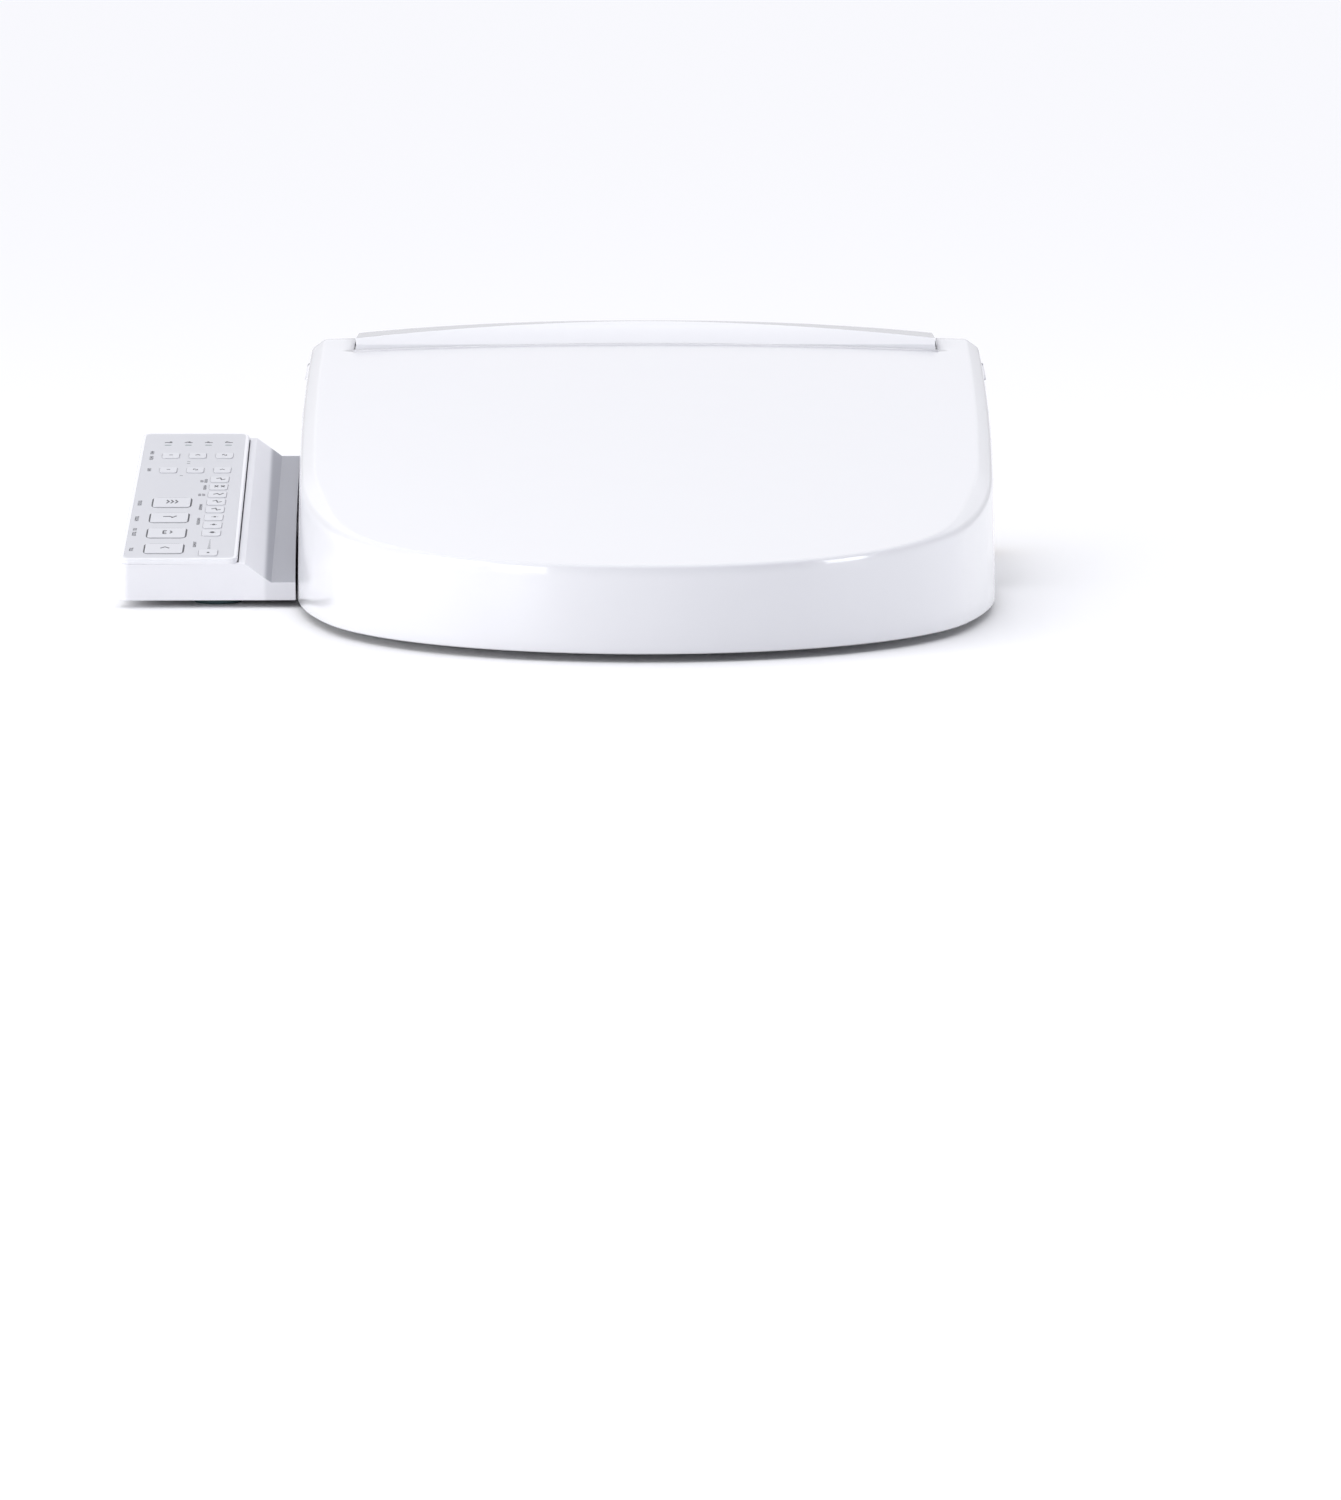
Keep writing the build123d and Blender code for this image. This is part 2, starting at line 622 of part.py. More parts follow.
HEATER_X = -112.0
HEATER_Y = -58.0
with BuildPart() as water_heater:
    with Locations((HEATER_X, HEATER_Y, FLOOR_TOP + 27)):
        Box(86, 66, 54)
    fillet(water_heater.edges().filter_by(Axis.Z), radius=8)
    with Locations((HEATER_X + 24, HEATER_Y, FLOOR_TOP + 60)):
        Cylinder(4, 12)
    with Locations((HEATER_X - 20, HEATER_Y, FLOOR_TOP + 58)):
        Cylinder(9, 8)
save(water_heater, "water_heater")


def hose(points, radii, radius, bore):
    """A bent tube along straight runs joined by tangent arcs."""
    with BuildPart() as tube:
        with BuildLine() as route:
            FilletPolyline(*points, radius=radii)
        with BuildSketch(route.line ^ 0):
            Circle(radius)
            Circle(bore, mode=Mode.SUBTRACT)
        sweep()
    return tube.part


HOSE_LOW = 60.0
HOSE_HIGH = 92.0
with BuildPart() as water_hoses:
    supply = [
        (VALVE_X - 12.1, INLET_Y, INLET_Z + 6),
        (104, INLET_Y, INLET_Z + 6),
        (104, INLET_Y, HOSE_LOW),
        (HEATER_X + 24, INLET_Y, HOSE_LOW),
        (HEATER_X + 24, INLET_Y, HOSE_HIGH),
        (HEATER_X + 24, HEATER_Y, HOSE_HIGH),
        (HEATER_X + 24, HEATER_Y, FLOOR_TOP + 66),
    ]
    add(hose(supply, 8, 3.4, 2.2))
save(water_hoses, "water_hoses")

with BuildPart() as power_supply:
    with Locations((143, -34, FLOOR_TOP + 21)):
        Box(42, 34, 42)
    with Locations((143, -34, FLOOR_TOP + 45)):
        Box(30, 22, 6)
save(power_supply, "power_supply")

with BuildPart() as main_circuit_board:
    with Locations((-112, 14, 40)):
        Box(92, 1.6, 54)
    with Locations((-140, 8.2, 46), (-112, 8.2, 30)):
        Box(18, 10, 14)
    with Locations((-86, 9.2, 44)):
        Box(12, 8, 22)
    with Locations((-112, 16, FLOOR_TOP + 3)):
        Box(96, 8, 6)
save(main_circuit_board, "main_circuit_board")

with BuildPart() as deodoriser_filter:
    with Locations((162.5, FILTER_Y, FILTER_Z)):
        Box(45, FILTER_W, FILTER_H)
    with BuildSketch(Plane.XY.offset(FILTER_Z + FILTER_H / 2)) as grille:
        with GridLocations(6, 0, 5, 1):
            with Locations((155, FILTER_Y)):
                Rectangle(2.6, 34)
    extrude(grille.sketch, amount=-FILTER_H, mode=Mode.SUBTRACT)
save(deodoriser_filter, "deodoriser_filter")

FAN_X = 92.0
FAN_Y = -20.0
FAN_Z = 50.0
with BuildPart() as blower_housing:
    with BuildSketch(Plane.XZ.offset(-FAN_Y - 12)) as drum:
        with Locations((FAN_X, FAN_Z)):
            Circle(25)
    extrude(drum.sketch, amount=26)
    with Locations((FAN_X, FAN_Y + 1, FLOOR_TOP + 7.6)):
        Box(20, 20, 15)
    with Locations((DRYER_X + 1, FAN_Y - 1, FAN_Z)):
        Box(36, 26, DRYER_H)
    with BuildSketch(Plane.XZ.offset(-FAN_Y - 9)) as cavity:
        with Locations((FAN_X, FAN_Z)):
            Circle(22.6)
    extrude(cavity.sketch, amount=20, mode=Mode.SUBTRACT)
    with Locations((DRYER_X, FAN_Y - 3, FAN_Z)):
        Box(30, 25, DRYER_H - 4, mode=Mode.SUBTRACT)
    with BuildSketch(Plane.XZ.offset(-FAN_Y - 18)) as eye:
        with Locations((FAN_X, FAN_Z)):
            Circle(2.05)
    extrude(eye.sketch, amount=20, mode=Mode.SUBTRACT)
    with BuildSketch(Plane.XZ.offset(-FAN_Y + 8)) as intake:
        with Locations((FAN_X, FAN_Z)):
            Circle(13)
    extrude(intake.sketch, amount=20, mode=Mode.SUBTRACT)
save(blower_housing, "blower_housing")

with BuildPart() as blower_impeller:
    with BuildSketch(Plane.XZ.offset(-FAN_Y - 8)) as plate:
        with Locations((FAN_X, FAN_Z)):
            Circle(19)
    extrude(plate.sketch, amount=2)
    with BuildSketch(Plane.XZ.offset(-FAN_Y - 6)) as blades:
        with Locations((FAN_X, FAN_Z)):
            with PolarLocations(15.5, 18):
                Rectangle(6, 1.2, rotation=35)
            Circle(5)
    extrude(blades.sketch, amount=14)
    with BuildSketch(Plane.XZ.offset(-FAN_Y - 16)) as shaft:
        with Locations((FAN_X, FAN_Z)):
            Circle(2)
    extrude(shaft.sketch, amount=12)
save(blower_impeller, "blower_impeller")

with BuildPart() as dryer_duct:
    duct_back = Plane.XZ.offset(-FAN_Y + 14.1)
    duct_front = Plane.XZ.offset(-BODY_FRONT - 3.1)
    with BuildSketch(duct_back):
        with Locations((DRYER_X - 2, FAN_Z)):
            Rectangle(30, DRYER_H)
    with BuildSketch(duct_front):
        with Locations((DRYER_X, DRYER_Z)):
            Rectangle(DRYER_W - 1, DRYER_H)
    loft()
    with BuildSketch(duct_back):
        with Locations((DRYER_X - 2, FAN_Z)):
            Rectangle(26, DRYER_H - 4)
    with BuildSketch(duct_front):
        with Locations((DRYER_X, DRYER_Z)):
            Rectangle(DRYER_W - 5, DRYER_H - 4)
    loft(mode=Mode.SUBTRACT)
save(dryer_duct, "dryer_duct")

FLAP_Y = BODY_FRONT - 1.2
FLAP_TOP = DRYER_Z + DRYER_H / 2 - 1.6
with BuildPart() as dryer_flap:
    with BuildSketch(Plane.XZ.offset(-FLAP_Y - 2.2)) as leaf:
        with Locations((DRYER_X, DRYER_Z - 0.6)):
            RectangleRounded(DRYER_W - 1.6, DRYER_H - 2, 2)
    extrude(leaf.sketch, amount=1.6)
    with BuildSketch(Plane.YZ.offset(DRYER_X - DRYER_W / 2 + 4.8)) as barrel:
        with Locations((FLAP_Y + 1.4, FLAP_TOP)):
            Circle(1.1)
    extrude(barrel.sketch, amount=DRYER_W - 9.6)
save(dryer_flap, "dryer_flap")

# ---- washing wand -------------------------------------------------------------------------------
RACK_Y = -(WAND_R + 2.6)    # pitch line of the rack, above the wand
PITCH = pi * RACK_MODULE
PINION_R = RACK_MODULE * PINION_TEETH / 2
PINION_AT = 92.0            # place of the pinion along the wand


def tooth(height_low, height_high, base, tip):
    """Points of one straight-flanked tooth about its own centre line."""
    half_base = base / 2
    half_tip = tip / 2
    return [
        (-half_base, height_low),
        (-half_tip, height_high),
        (half_tip, height_high),
        (half_base, height_low),
    ]


with BuildPart() as nozzle_wand:
    with BuildSketch(WAND_PLANE.offset(2)) as barrel:
        Circle(WAND_R)
    extrude(barrel.sketch, amount=WAND_L - 2)
    fillet(nozzle_wand.edges().group_by(Axis.Y)[-1], radius=2)
    # rack bar and its teeth
    with BuildSketch(WAND_PLANE.offset(10)) as bar:
        with Locations((0, -WAND_R)):
            Rectangle(5, 3.0)
    extrude(bar.sketch, amount=WAND_L - 16)
    first = PINION_AT - 20.5 * PITCH
    rack_plane = Plane(WAND_PLANE.origin, x_dir=WAND_DIR, z_dir=(1, 0, 0))
    with BuildSketch(rack_plane.offset(-2.5)) as teeth:
        for number in range(43):
            with BuildLine():
                points = tooth(WAND_R + 1.4, WAND_R + 3.5, 2.0, 0.8)
                Polyline(*[(x + first + number * PITCH, y) for x, y in points], close=True)
            make_face()
    extrude(teeth.sketch, amount=5)
    # spray outlets in the underside near the tip
    for place in (14, 24):
        jet_at = WAND_PLANE.origin + Vector(*WAND_DIR) * place
        with BuildSketch(Plane(jet_at, z_dir=WAND_PLANE.y_dir)) as jets:
            with PolarLocations(1.8, 5):
                Circle(0.5)
        extrude(jets.sketch, amount=12, mode=Mode.SUBTRACT)
save(nozzle_wand, "nozzle_wand")

with BuildPart() as nozzle_shield:
    with BuildSketch(WAND_PLANE.offset(-1)) as shield:
        Circle(PORT_R - 0.8)
    extrude(shield.sketch, amount=2.95)
    fillet(nozzle_shield.edges().group_by(Axis.Y)[0], radius=1)
save(nozzle_shield, "nozzle_shield")

with BuildPart() as nozzle_cradle:
    with BuildSketch(WAND_PLANE.offset(14)) as channel:
        with Locations((0, 4.5)):
            Rectangle(20, 13)
        Circle(WAND_R + 0.3, mode=Mode.SUBTRACT)
    extrude(channel.sketch, amount=132)
    for y, width in ((-92, 8), (8, 8)):
        along = (y - BODY_FRONT) * tan(WAND_ANGLE)
        with BuildSketch(Plane.XY.offset(FLOOR_TOP)) as leg:
            with Locations((0, y)):
                Rectangle(16, width)
        extrude(leg.sketch, amount=WAND_EXIT_Z + along - WAND_R - 3 - FLOOR_TOP)
save(nozzle_cradle, "nozzle_cradle")

PINION_PLANE = Plane(
    WAND_PLANE.origin + Vector(*WAND_DIR) * PINION_AT + WAND_PLANE.y_dir * (RACK_Y - PINION_R),
    x_dir=WAND_DIR,
    z_dir=(1, 0, 0),
)

with BuildPart() as wand_pinion:
    with BuildSketch(PINION_PLANE.offset(-2.4)) as gear:
        Circle(PINION_R - 1.25)
        with PolarLocations(0, PINION_TEETH, start_angle=-90):
            with BuildLine():
                root = PINION_R - 1.6
                tip = PINION_R + 0.85
                flank = [(root, 1.05), (PINION_R, 0.66), (tip, 0.3)]
                mirrored = [(x, -y) for x, y in reversed(flank)]
                Polyline(*flank, *mirrored, close=True)
            make_face()
    extrude(gear.sketch, amount=4.8)
    with BuildSketch(PINION_PLANE.offset(-4)) as axle:
        Circle(2)
    extrude(axle.sketch, amount=20)
save(wand_pinion, "wand_pinion")

with BuildPart() as wand_motor:
    with BuildSketch(PINION_PLANE.offset(10.4)) as can:
        Circle(10.5)
    extrude(can.sketch, amount=18)
    with BuildSketch(PINION_PLANE.offset(10)) as bore:
        Circle(2.05)
    extrude(bore.sketch, amount=8, mode=Mode.SUBTRACT)
    motor_at = PINION_PLANE.origin
    with BuildSketch(Plane.XY.offset(FLOOR_TOP)) as post:
        with Locations((19.4, motor_at.Y)):
            Rectangle(12, 14)
    extrude(post.sketch, amount=motor_at.Z - 9 - FLOOR_TOP)
save(wand_motor, "wand_motor")

# ---- control panel ------------------------------------------------------------------------------
# local x is +X, local y runs back and up along the face, local z is the face's outward normal
PANEL_PLANE = Plane(
    origin=(PANEL_LEFT, PANEL_FRONT, PANEL_EDGE_Z),
    x_dir=(1, 0, 0),
    z_dir=(0, -sin(PANEL_ANGLE), cos(PANEL_ANGLE)),
)
PANEL_L = (PANEL_BACK - PANEL_FRONT) / cos(PANEL_ANGLE)
PANEL_MID = (PANEL_W - PANEL_TAPER / 2) / 2
# the section runs along the face's right edge, which leans in towards the back
PANEL_RUN = (PANEL_PLANE.y_dir * PANEL_L - PANEL_PLANE.x_dir * PANEL_TAPER).normalized()
PANEL_SECTION = Plane(
    origin=PANEL_PLANE.origin + PANEL_PLANE.x_dir * PANEL_W - PANEL_RUN * 60,
    x_dir=PANEL_RUN.cross(PANEL_PLANE.z_dir),
    z_dir=PANEL_RUN,
)


def panel_section(inset, top):
    """Across the panel: face, sloped flank and shelf. Local x is 0 at the face's right edge."""
    with BuildSketch(PANEL_SECTION) as section:
        with BuildLine():
            Polyline(
                (-2 * PANEL_W, top),
                (-inset * 0.3, top),
                (FLANK_W - inset * 0.6, SHELF_DROP + inset),
                (2 * PANEL_W, SHELF_DROP + inset),
                (2 * PANEL_W, 160),
                (-2 * PANEL_W, 160),
                close=True,
            )
        make_face()
    return section.sketch


def panel_plan(inset, z):
    """Plan of the panel and the shelf, rounded at the two outer corners."""
    left = PANEL_LEFT + inset
    right = -LID_HALF / 2
    with BuildSketch(Plane.XY.offset(z)) as plan:
        with BuildLine():
            Polyline(
                (left, PANEL_FRONT + inset),
                (right, PANEL_FRONT + inset + 3),
                (right, PANEL_BACK - inset),
                (left, PANEL_BACK - inset),
                close=True,
            )
        make_face()
        fillet(plan.vertices().group_by(Axis.X)[0], radius=PANEL_CORNER - inset)
        # the shelf follows the lid's side
        add(lid_outline(-SHELF_GAP - inset, HINGE_Y, z), mode=Mode.SUBTRACT)
    return plan.sketch


def panel_solid(inset, top):
    """The filled panel, set in by inset, with its face at a depth of top."""
    with BuildPart() as block:
        extrude(panel_plan(inset, PANEL_Z + inset), amount=120)
        extrude(panel_section(inset, top), amount=330, mode=Mode.INTERSECT)
    return block.part


def face_sketch(inset, depth):
    """Rounded outline of the panel's face at a depth below it."""
    with BuildSketch(PANEL_PLANE.offset(-depth)) as face:
        with BuildLine():
            Polyline(
                (inset, inset),
                (PANEL_W - inset, inset),
                (PANEL_W - PANEL_TAPER - inset, PANEL_L - inset),
                (inset, PANEL_L - inset),
                close=True,
            )
        make_face()
        fillet(face.vertices(), radius=PANEL_CORNER - inset)
    return face.sketch


with BuildPart() as panel_lower_case:
    add(panel_solid(0, 0))
    with BuildSketch(PANEL_PLANE.offset(-FACE_T)) as above:
        with Locations((PANEL_MID, PANEL_L / 2)):
            Rectangle(PANEL_W + 20, PANEL_L + 60)
    extrude(above.sketch, amount=30, mode=Mode.SUBTRACT)
    add(panel_solid(2.5, FACE_T - 1), mode=Mode.SUBTRACT)
    # the arm that reaches under the lid's skirt to the base tray
    with BuildSketch(Plane.XY.offset(6)) as arm:
        with Locations(((SHELF_EDGE - TRAY_HALF - ARM_ROOT) / 2, -88)):
            Rectangle(-SHELF_EDGE - TRAY_HALF + ARM_ROOT, 54)
    extrude(arm.sketch, amount=20)
    with BuildSketch(Plane.YZ.offset(SHELF_EDGE - 4)) as duct:
        with Locations((-88, 16)):
            Rectangle(46, 13)
    extrude(duct.sketch, amount=40, mode=Mode.SUBTRACT)
save(panel_lower_case, "panel_lower_case")

# places on the face: x from its left edge, y from its front edge
BIG_KEY = (21.0, 13.6)
SMALL_KEY = (9.8, 8.2)
SIDE_KEY = (10.4, 8.6)
BIG_X = 23.7
SIDE_X = 48.6
KEYS = {}
for row, name in enumerate(["key_stop", "key_rear_wash", "key_front_wash", "key_dryer"]):
    KEYS[name] = (BIG_X, 15.0 + 22.3 * row, BIG_KEY)
side_names = ["volume", "pulse", "sweep", "pressure_down", "pressure_up", "back", "forward", "child"]
for row, name in enumerate(side_names):
    KEYS[f"key_{name}"] = (SIDE_X, 37.2 + 11.3 * row, SIDE_KEY)
KEYS["key_power"] = (SIDE_X, 8.8, SIDE_KEY)
small_names = [["user_1", "user_2", "auto_clean"], ["seat_heat", "water_heat", "air_heat"]]
for row, names in enumerate(small_names):
    for column, name in enumerate(names):
        KEYS[f"key_{name}"] = (18.4 + 15.4 * column, 130.4 + 22.2 * row, SMALL_KEY)
KEY_GAP = 0.3
KEY_CORNER = 1.6
LIGHT_Y = 169.0
LIGHT_X = [15.7, 27.3, 38.9, 50.5]


def key_windows():
    """Openings for the keys and the lights, drawn below the panel's face."""
    with BuildSketch(PANEL_PLANE.offset(-10)) as windows:
        for x, y, (width, height) in KEYS.values():
            with Locations((x, y)):
                RectangleRounded(width + 2 * KEY_GAP, height + 2 * KEY_GAP, KEY_CORNER + KEY_GAP)
        for x in LIGHT_X:
            with Locations((x, LIGHT_Y)):
                SlotOverall(4, 1.4)
    return windows.sketch


with BuildPart() as panel_upper_case:
    extrude(face_sketch(0, FACE_T), amount=FACE_T)
    fillet(panel_upper_case.faces().sort_by(SortBy.AREA)[-2:].sort_by(Axis.Z)[-1].edges(), radius=1.2)
    extrude(face_sketch(2.2, FILM_T), amount=2, mode=Mode.SUBTRACT)
    extrude(key_windows(), amount=20, mode=Mode.SUBTRACT)
save(panel_upper_case, "panel_upper_case")

with BuildPart() as panel_overlay:
    extrude(face_sketch(2.3, FILM_T - 0.02), amount=FILM_T - 0.02)
    extrude(key_windows(), amount=20, mode=Mode.SUBTRACT)
save(panel_overlay, "panel_overlay")

with BuildPart() as panel_lights:
    with BuildSketch(PANEL_PLANE.offset(-5)) as windows:
        for x in LIGHT_X:
            with Locations((x, LIGHT_Y)):
                SlotOverall(3.8, 1.2)
    extrude(windows.sketch, amount=4.9)
save(panel_lights, "panel_lights")

BOARD_DEPTH = 8.4
with BuildPart() as panel_circuit_board:
    with BuildSketch(PANEL_PLANE.offset(-BOARD_DEPTH - 1.6)) as board:
        with Locations((PANEL_MID - 0.4, PANEL_L / 2 - 1)):
            RectangleRounded(PANEL_W - 10, PANEL_L - 12, 3)
    extrude(board.sketch, amount=1.6)
    with BuildSketch(PANEL_PLANE.offset(-BOARD_DEPTH)) as switches:
        for x, y, size in KEYS.values():
            with Locations((x, y)):
                Rectangle(5, 5)
    extrude(switches.sketch, amount=1.6)
    with BuildSketch(PANEL_PLANE.offset(-BOARD_DEPTH)) as lamp_blocks:
        with Locations((33.1, LIGHT_Y)):
            Rectangle(42, 4)
    extrude(lamp_blocks.sketch, amount=3.3)
    with BuildSketch(PANEL_PLANE.offset(-BOARD_DEPTH - 1.6)) as posts:
        with Locations((PANEL_MID, 100), (PANEL_MID, 160)):
            Circle(2.5)
    extrude(posts.sketch, amount=-8)
save(panel_circuit_board, "panel_circuit_board")

FLANGE_TOP = FACE_T + 0.2
for name, (x, y, (width, height)) in KEYS.items():
    with BuildPart() as key:
        with BuildSketch(PANEL_PLANE.offset(-FLANGE_TOP)) as cap:
            with Locations((x, y)):
                RectangleRounded(width, height, KEY_CORNER)
        extrude(cap.sketch, amount=FLANGE_TOP + 0.35)
        fillet(key.faces().sort_by(Axis.Z)[-1].edges(), radius=0.25)
        with BuildSketch(PANEL_PLANE.offset(-FLANGE_TOP - 0.8)) as flange:
            with Locations((x, y)):
                Rectangle(width + 1.6, height + 1.6)
        extrude(flange.sketch, amount=0.8)
        with BuildSketch(PANEL_PLANE.offset(-BOARD_DEPTH + 1.6 + 0.9)) as stem:
            with Locations((x, y)):
                Circle(1.5)
        extrude(stem.sketch, amount=BOARD_DEPTH - 2.5 - FLANGE_TOP - 0.8)
    save(key, name)

with BuildPart() as panel_foot:
    with BuildSketch() as disc:
        with Locations((-239, -211)):
            Circle(13.5)
    extrude(disc.sketch, amount=PANEL_Z)
    fillet(panel_foot.faces().sort_by(Axis.Z)[0].edges(), radius=1)
save(panel_foot, "panel_foot")
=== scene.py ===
import json
import math
import random

import bmesh
import bpy
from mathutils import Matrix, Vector


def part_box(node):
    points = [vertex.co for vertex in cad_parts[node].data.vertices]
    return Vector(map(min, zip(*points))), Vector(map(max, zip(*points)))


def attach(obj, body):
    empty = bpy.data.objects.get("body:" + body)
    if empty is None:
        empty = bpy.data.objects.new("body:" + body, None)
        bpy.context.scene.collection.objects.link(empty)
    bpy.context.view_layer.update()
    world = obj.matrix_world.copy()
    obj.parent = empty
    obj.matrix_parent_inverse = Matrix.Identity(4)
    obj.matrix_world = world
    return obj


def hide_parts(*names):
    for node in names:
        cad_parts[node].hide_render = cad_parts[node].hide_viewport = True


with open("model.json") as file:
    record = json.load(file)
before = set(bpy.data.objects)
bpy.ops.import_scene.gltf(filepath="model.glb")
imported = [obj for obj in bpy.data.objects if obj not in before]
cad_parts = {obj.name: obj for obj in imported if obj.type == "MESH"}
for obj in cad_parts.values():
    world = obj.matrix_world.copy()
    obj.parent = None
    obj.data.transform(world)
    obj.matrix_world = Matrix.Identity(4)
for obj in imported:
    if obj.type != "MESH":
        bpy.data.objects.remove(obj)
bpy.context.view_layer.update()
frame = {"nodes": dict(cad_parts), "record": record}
NODES = frame["nodes"]
scene = bpy.context.scene
MM = 0.001


# ---- shader helpers -----------------------------------------------------------------------------
def math_node(tree, operation, *values):
    """One Math node; its inputs are sockets or numbers."""
    node = tree.nodes.new("ShaderNodeMath")
    node.operation = operation
    for socket, value in zip(node.inputs, values):
        if isinstance(value, (int, float)):
            socket.default_value = value
        else:
            tree.links.new(value, socket)
    return node.outputs[0]


def fade(tree, value, low, high, start=0.0, end=1.0):
    """Smoothly from start to end as value goes from low to high."""
    node = tree.nodes.new("ShaderNodeMapRange")
    node.interpolation_type = "SMOOTHSTEP"
    for name, setting in zip(("From Min", "From Max", "To Min", "To Max"), (low, high, start, end)):
        node.inputs[name].default_value = setting
    tree.links.new(value, node.inputs["Value"])
    return node.outputs["Result"]


def mix_colours(tree, factor, first, second):
    """A colour between two others; each is a socket or four numbers."""
    node = tree.nodes.new("ShaderNodeMix")
    node.data_type = "RGBA"
    for name, value in (("A", first), ("B", second)):
        if isinstance(value, tuple):
            node.inputs[name].default_value = value
        else:
            tree.links.new(value, node.inputs[name])
    tree.links.new(factor, node.inputs["Factor"])
    return node.outputs["Result"]


# ---- camera, floor and light --------------------------------------------------------------------
DARK_SIDE = Vector((0.38, -0.91, 0.12)).normalized()
DARK_FROM = 0.1
BRIGHT_SKY = (1.0, 1.0, 1.03, 1.0)
DARK_SKY = (0.10, 0.11, 0.17, 1.0)
SKY_RISE = (0.08, 0.40, 0.60, 1.12)   # brightness near the horizon and overhead
SKY_SIDES = (0.45, 1.0, 1.0, 0.60)    # and how it falls towards the left and the right
CAMERA_AT = (-0.006, -3.675, 0.4328)
CAMERA_DOWN, CAMERA_TURN = 0.14813, -0.00561
LENS, SENSOR, CAMERA_END = 150, 36, 50
FLOOR_SIZE = 40
FLOOR_COLOUR = (0.97, 0.97, 0.975, 1)
FLOOR_ROUGH = 0.9
SUN_POWER, SUN_SPREAD = 0.5, 100      # a wide even light from above, its spread in degrees
SOFTBOXES = [                         # name, place, target, size, power, colour
    ("left_soft", (-2.1, -1.2, 0.6), (-0.15, -0.3, 0.03), (0.9, 0.9), 17, (1, 1, 1)),
    ("right_soft", (2.2, -1.1, 0.6), (0.1, -0.3, 0.03), (0.7, 0.9), 14, (0.97, 0.98, 1)),
    ("panel_soft", (-0.6, -1.0, 0.14), (-0.25, -0.24, 0.02), (0.3, 0.25), 1.1, (1, 1, 1)),
]


def make_camera():
    """A long lens in front of the seat and above it, looking slightly down."""
    data = bpy.data.cameras.new("camera")
    data.sensor_width = SENSOR
    data.lens = LENS
    data.clip_end = CAMERA_END
    camera = bpy.data.objects.new("camera", data)
    scene.collection.objects.link(camera)
    camera.location = CAMERA_AT
    camera.rotation_euler = (math.radians(90) - CAMERA_DOWN, 0, CAMERA_TURN)
    scene.camera = camera


def area_light(name, location, target, size, power, color):
    """A soft rectangular light aimed at a point."""
    data = bpy.data.lights.new(name, "AREA")
    data.shape = "RECTANGLE"
    data.size, data.size_y = size
    data.energy = power
    data.color = color
    lamp = bpy.data.objects.new(name, data)
    lamp.location = location
    aim = Vector(target) - Vector(location)
    lamp.rotation_euler = aim.to_track_quat("-Z", "Y").to_euler()
    scene.collection.objects.link(lamp)
    return lamp


def make_world():
    """An even bright surround, darker and cooler towards the front and a little to the right."""
    world = bpy.data.worlds.new("world")
    world.use_nodes = True
    tree = world.node_tree
    place = tree.nodes.new("ShaderNodeTexCoord")
    facing = tree.nodes.new("ShaderNodeVectorMath")
    facing.operation = "DOT_PRODUCT"
    facing.inputs[1].default_value = DARK_SIDE
    tree.links.new(place.outputs["Generated"], facing.inputs[0])
    shade = fade(tree, facing.outputs["Value"], DARK_FROM, 1.0)
    back = tree.nodes["Background"]
    tree.links.new(mix_colours(tree, shade, BRIGHT_SKY, DARK_SKY), back.inputs["Color"])
    part = tree.nodes.new("ShaderNodeSeparateXYZ")
    tree.links.new(place.outputs["Generated"], part.inputs["Vector"])
    aside = math_node(tree, "ABSOLUTE", part.outputs["X"])
    rise = fade(tree, part.outputs["Z"], *SKY_RISE)
    sides = fade(tree, aside, *SKY_SIDES)
    tree.links.new(math_node(tree, "MULTIPLY", rise, sides), back.inputs["Strength"])
    scene.world = world


def make_studio():
    """Pale floor, a bright soft world, a wide sun and three softboxes."""
    bpy.ops.mesh.primitive_plane_add(size=FLOOR_SIZE, location=(0, 0, 0))
    floor = bpy.context.object
    floor.name = "floor"
    mat = bpy.data.materials.new("floor")
    mat.use_nodes = True
    shader = mat.node_tree.nodes["Principled BSDF"]
    shader.inputs["Base Color"].default_value = FLOOR_COLOUR
    shader.inputs["Roughness"].default_value = FLOOR_ROUGH
    shader.inputs["Specular IOR Level"].default_value = 0
    floor.data.materials.append(mat)
    make_world()
    sun = bpy.data.lights.new("top_sun", "SUN")
    sun.energy = SUN_POWER
    sun.angle = math.radians(SUN_SPREAD)
    scene.collection.objects.link(bpy.data.objects.new("top_sun", sun))
    for softbox in SOFTBOXES:
        area_light(*softbox)
    scene.view_settings.view_transform = "Standard"


# ---- materials ----------------------------------------------------------------------------------
CLOUD_SCALE, CLOUD_DETAIL = 14, 3     # the faint mottling
GRAIN_DETAIL, GRAIN_DEPTH = 4, 0.0004
COAT_ROUGH = 0.06
ROUGH_SPREAD = 0.15


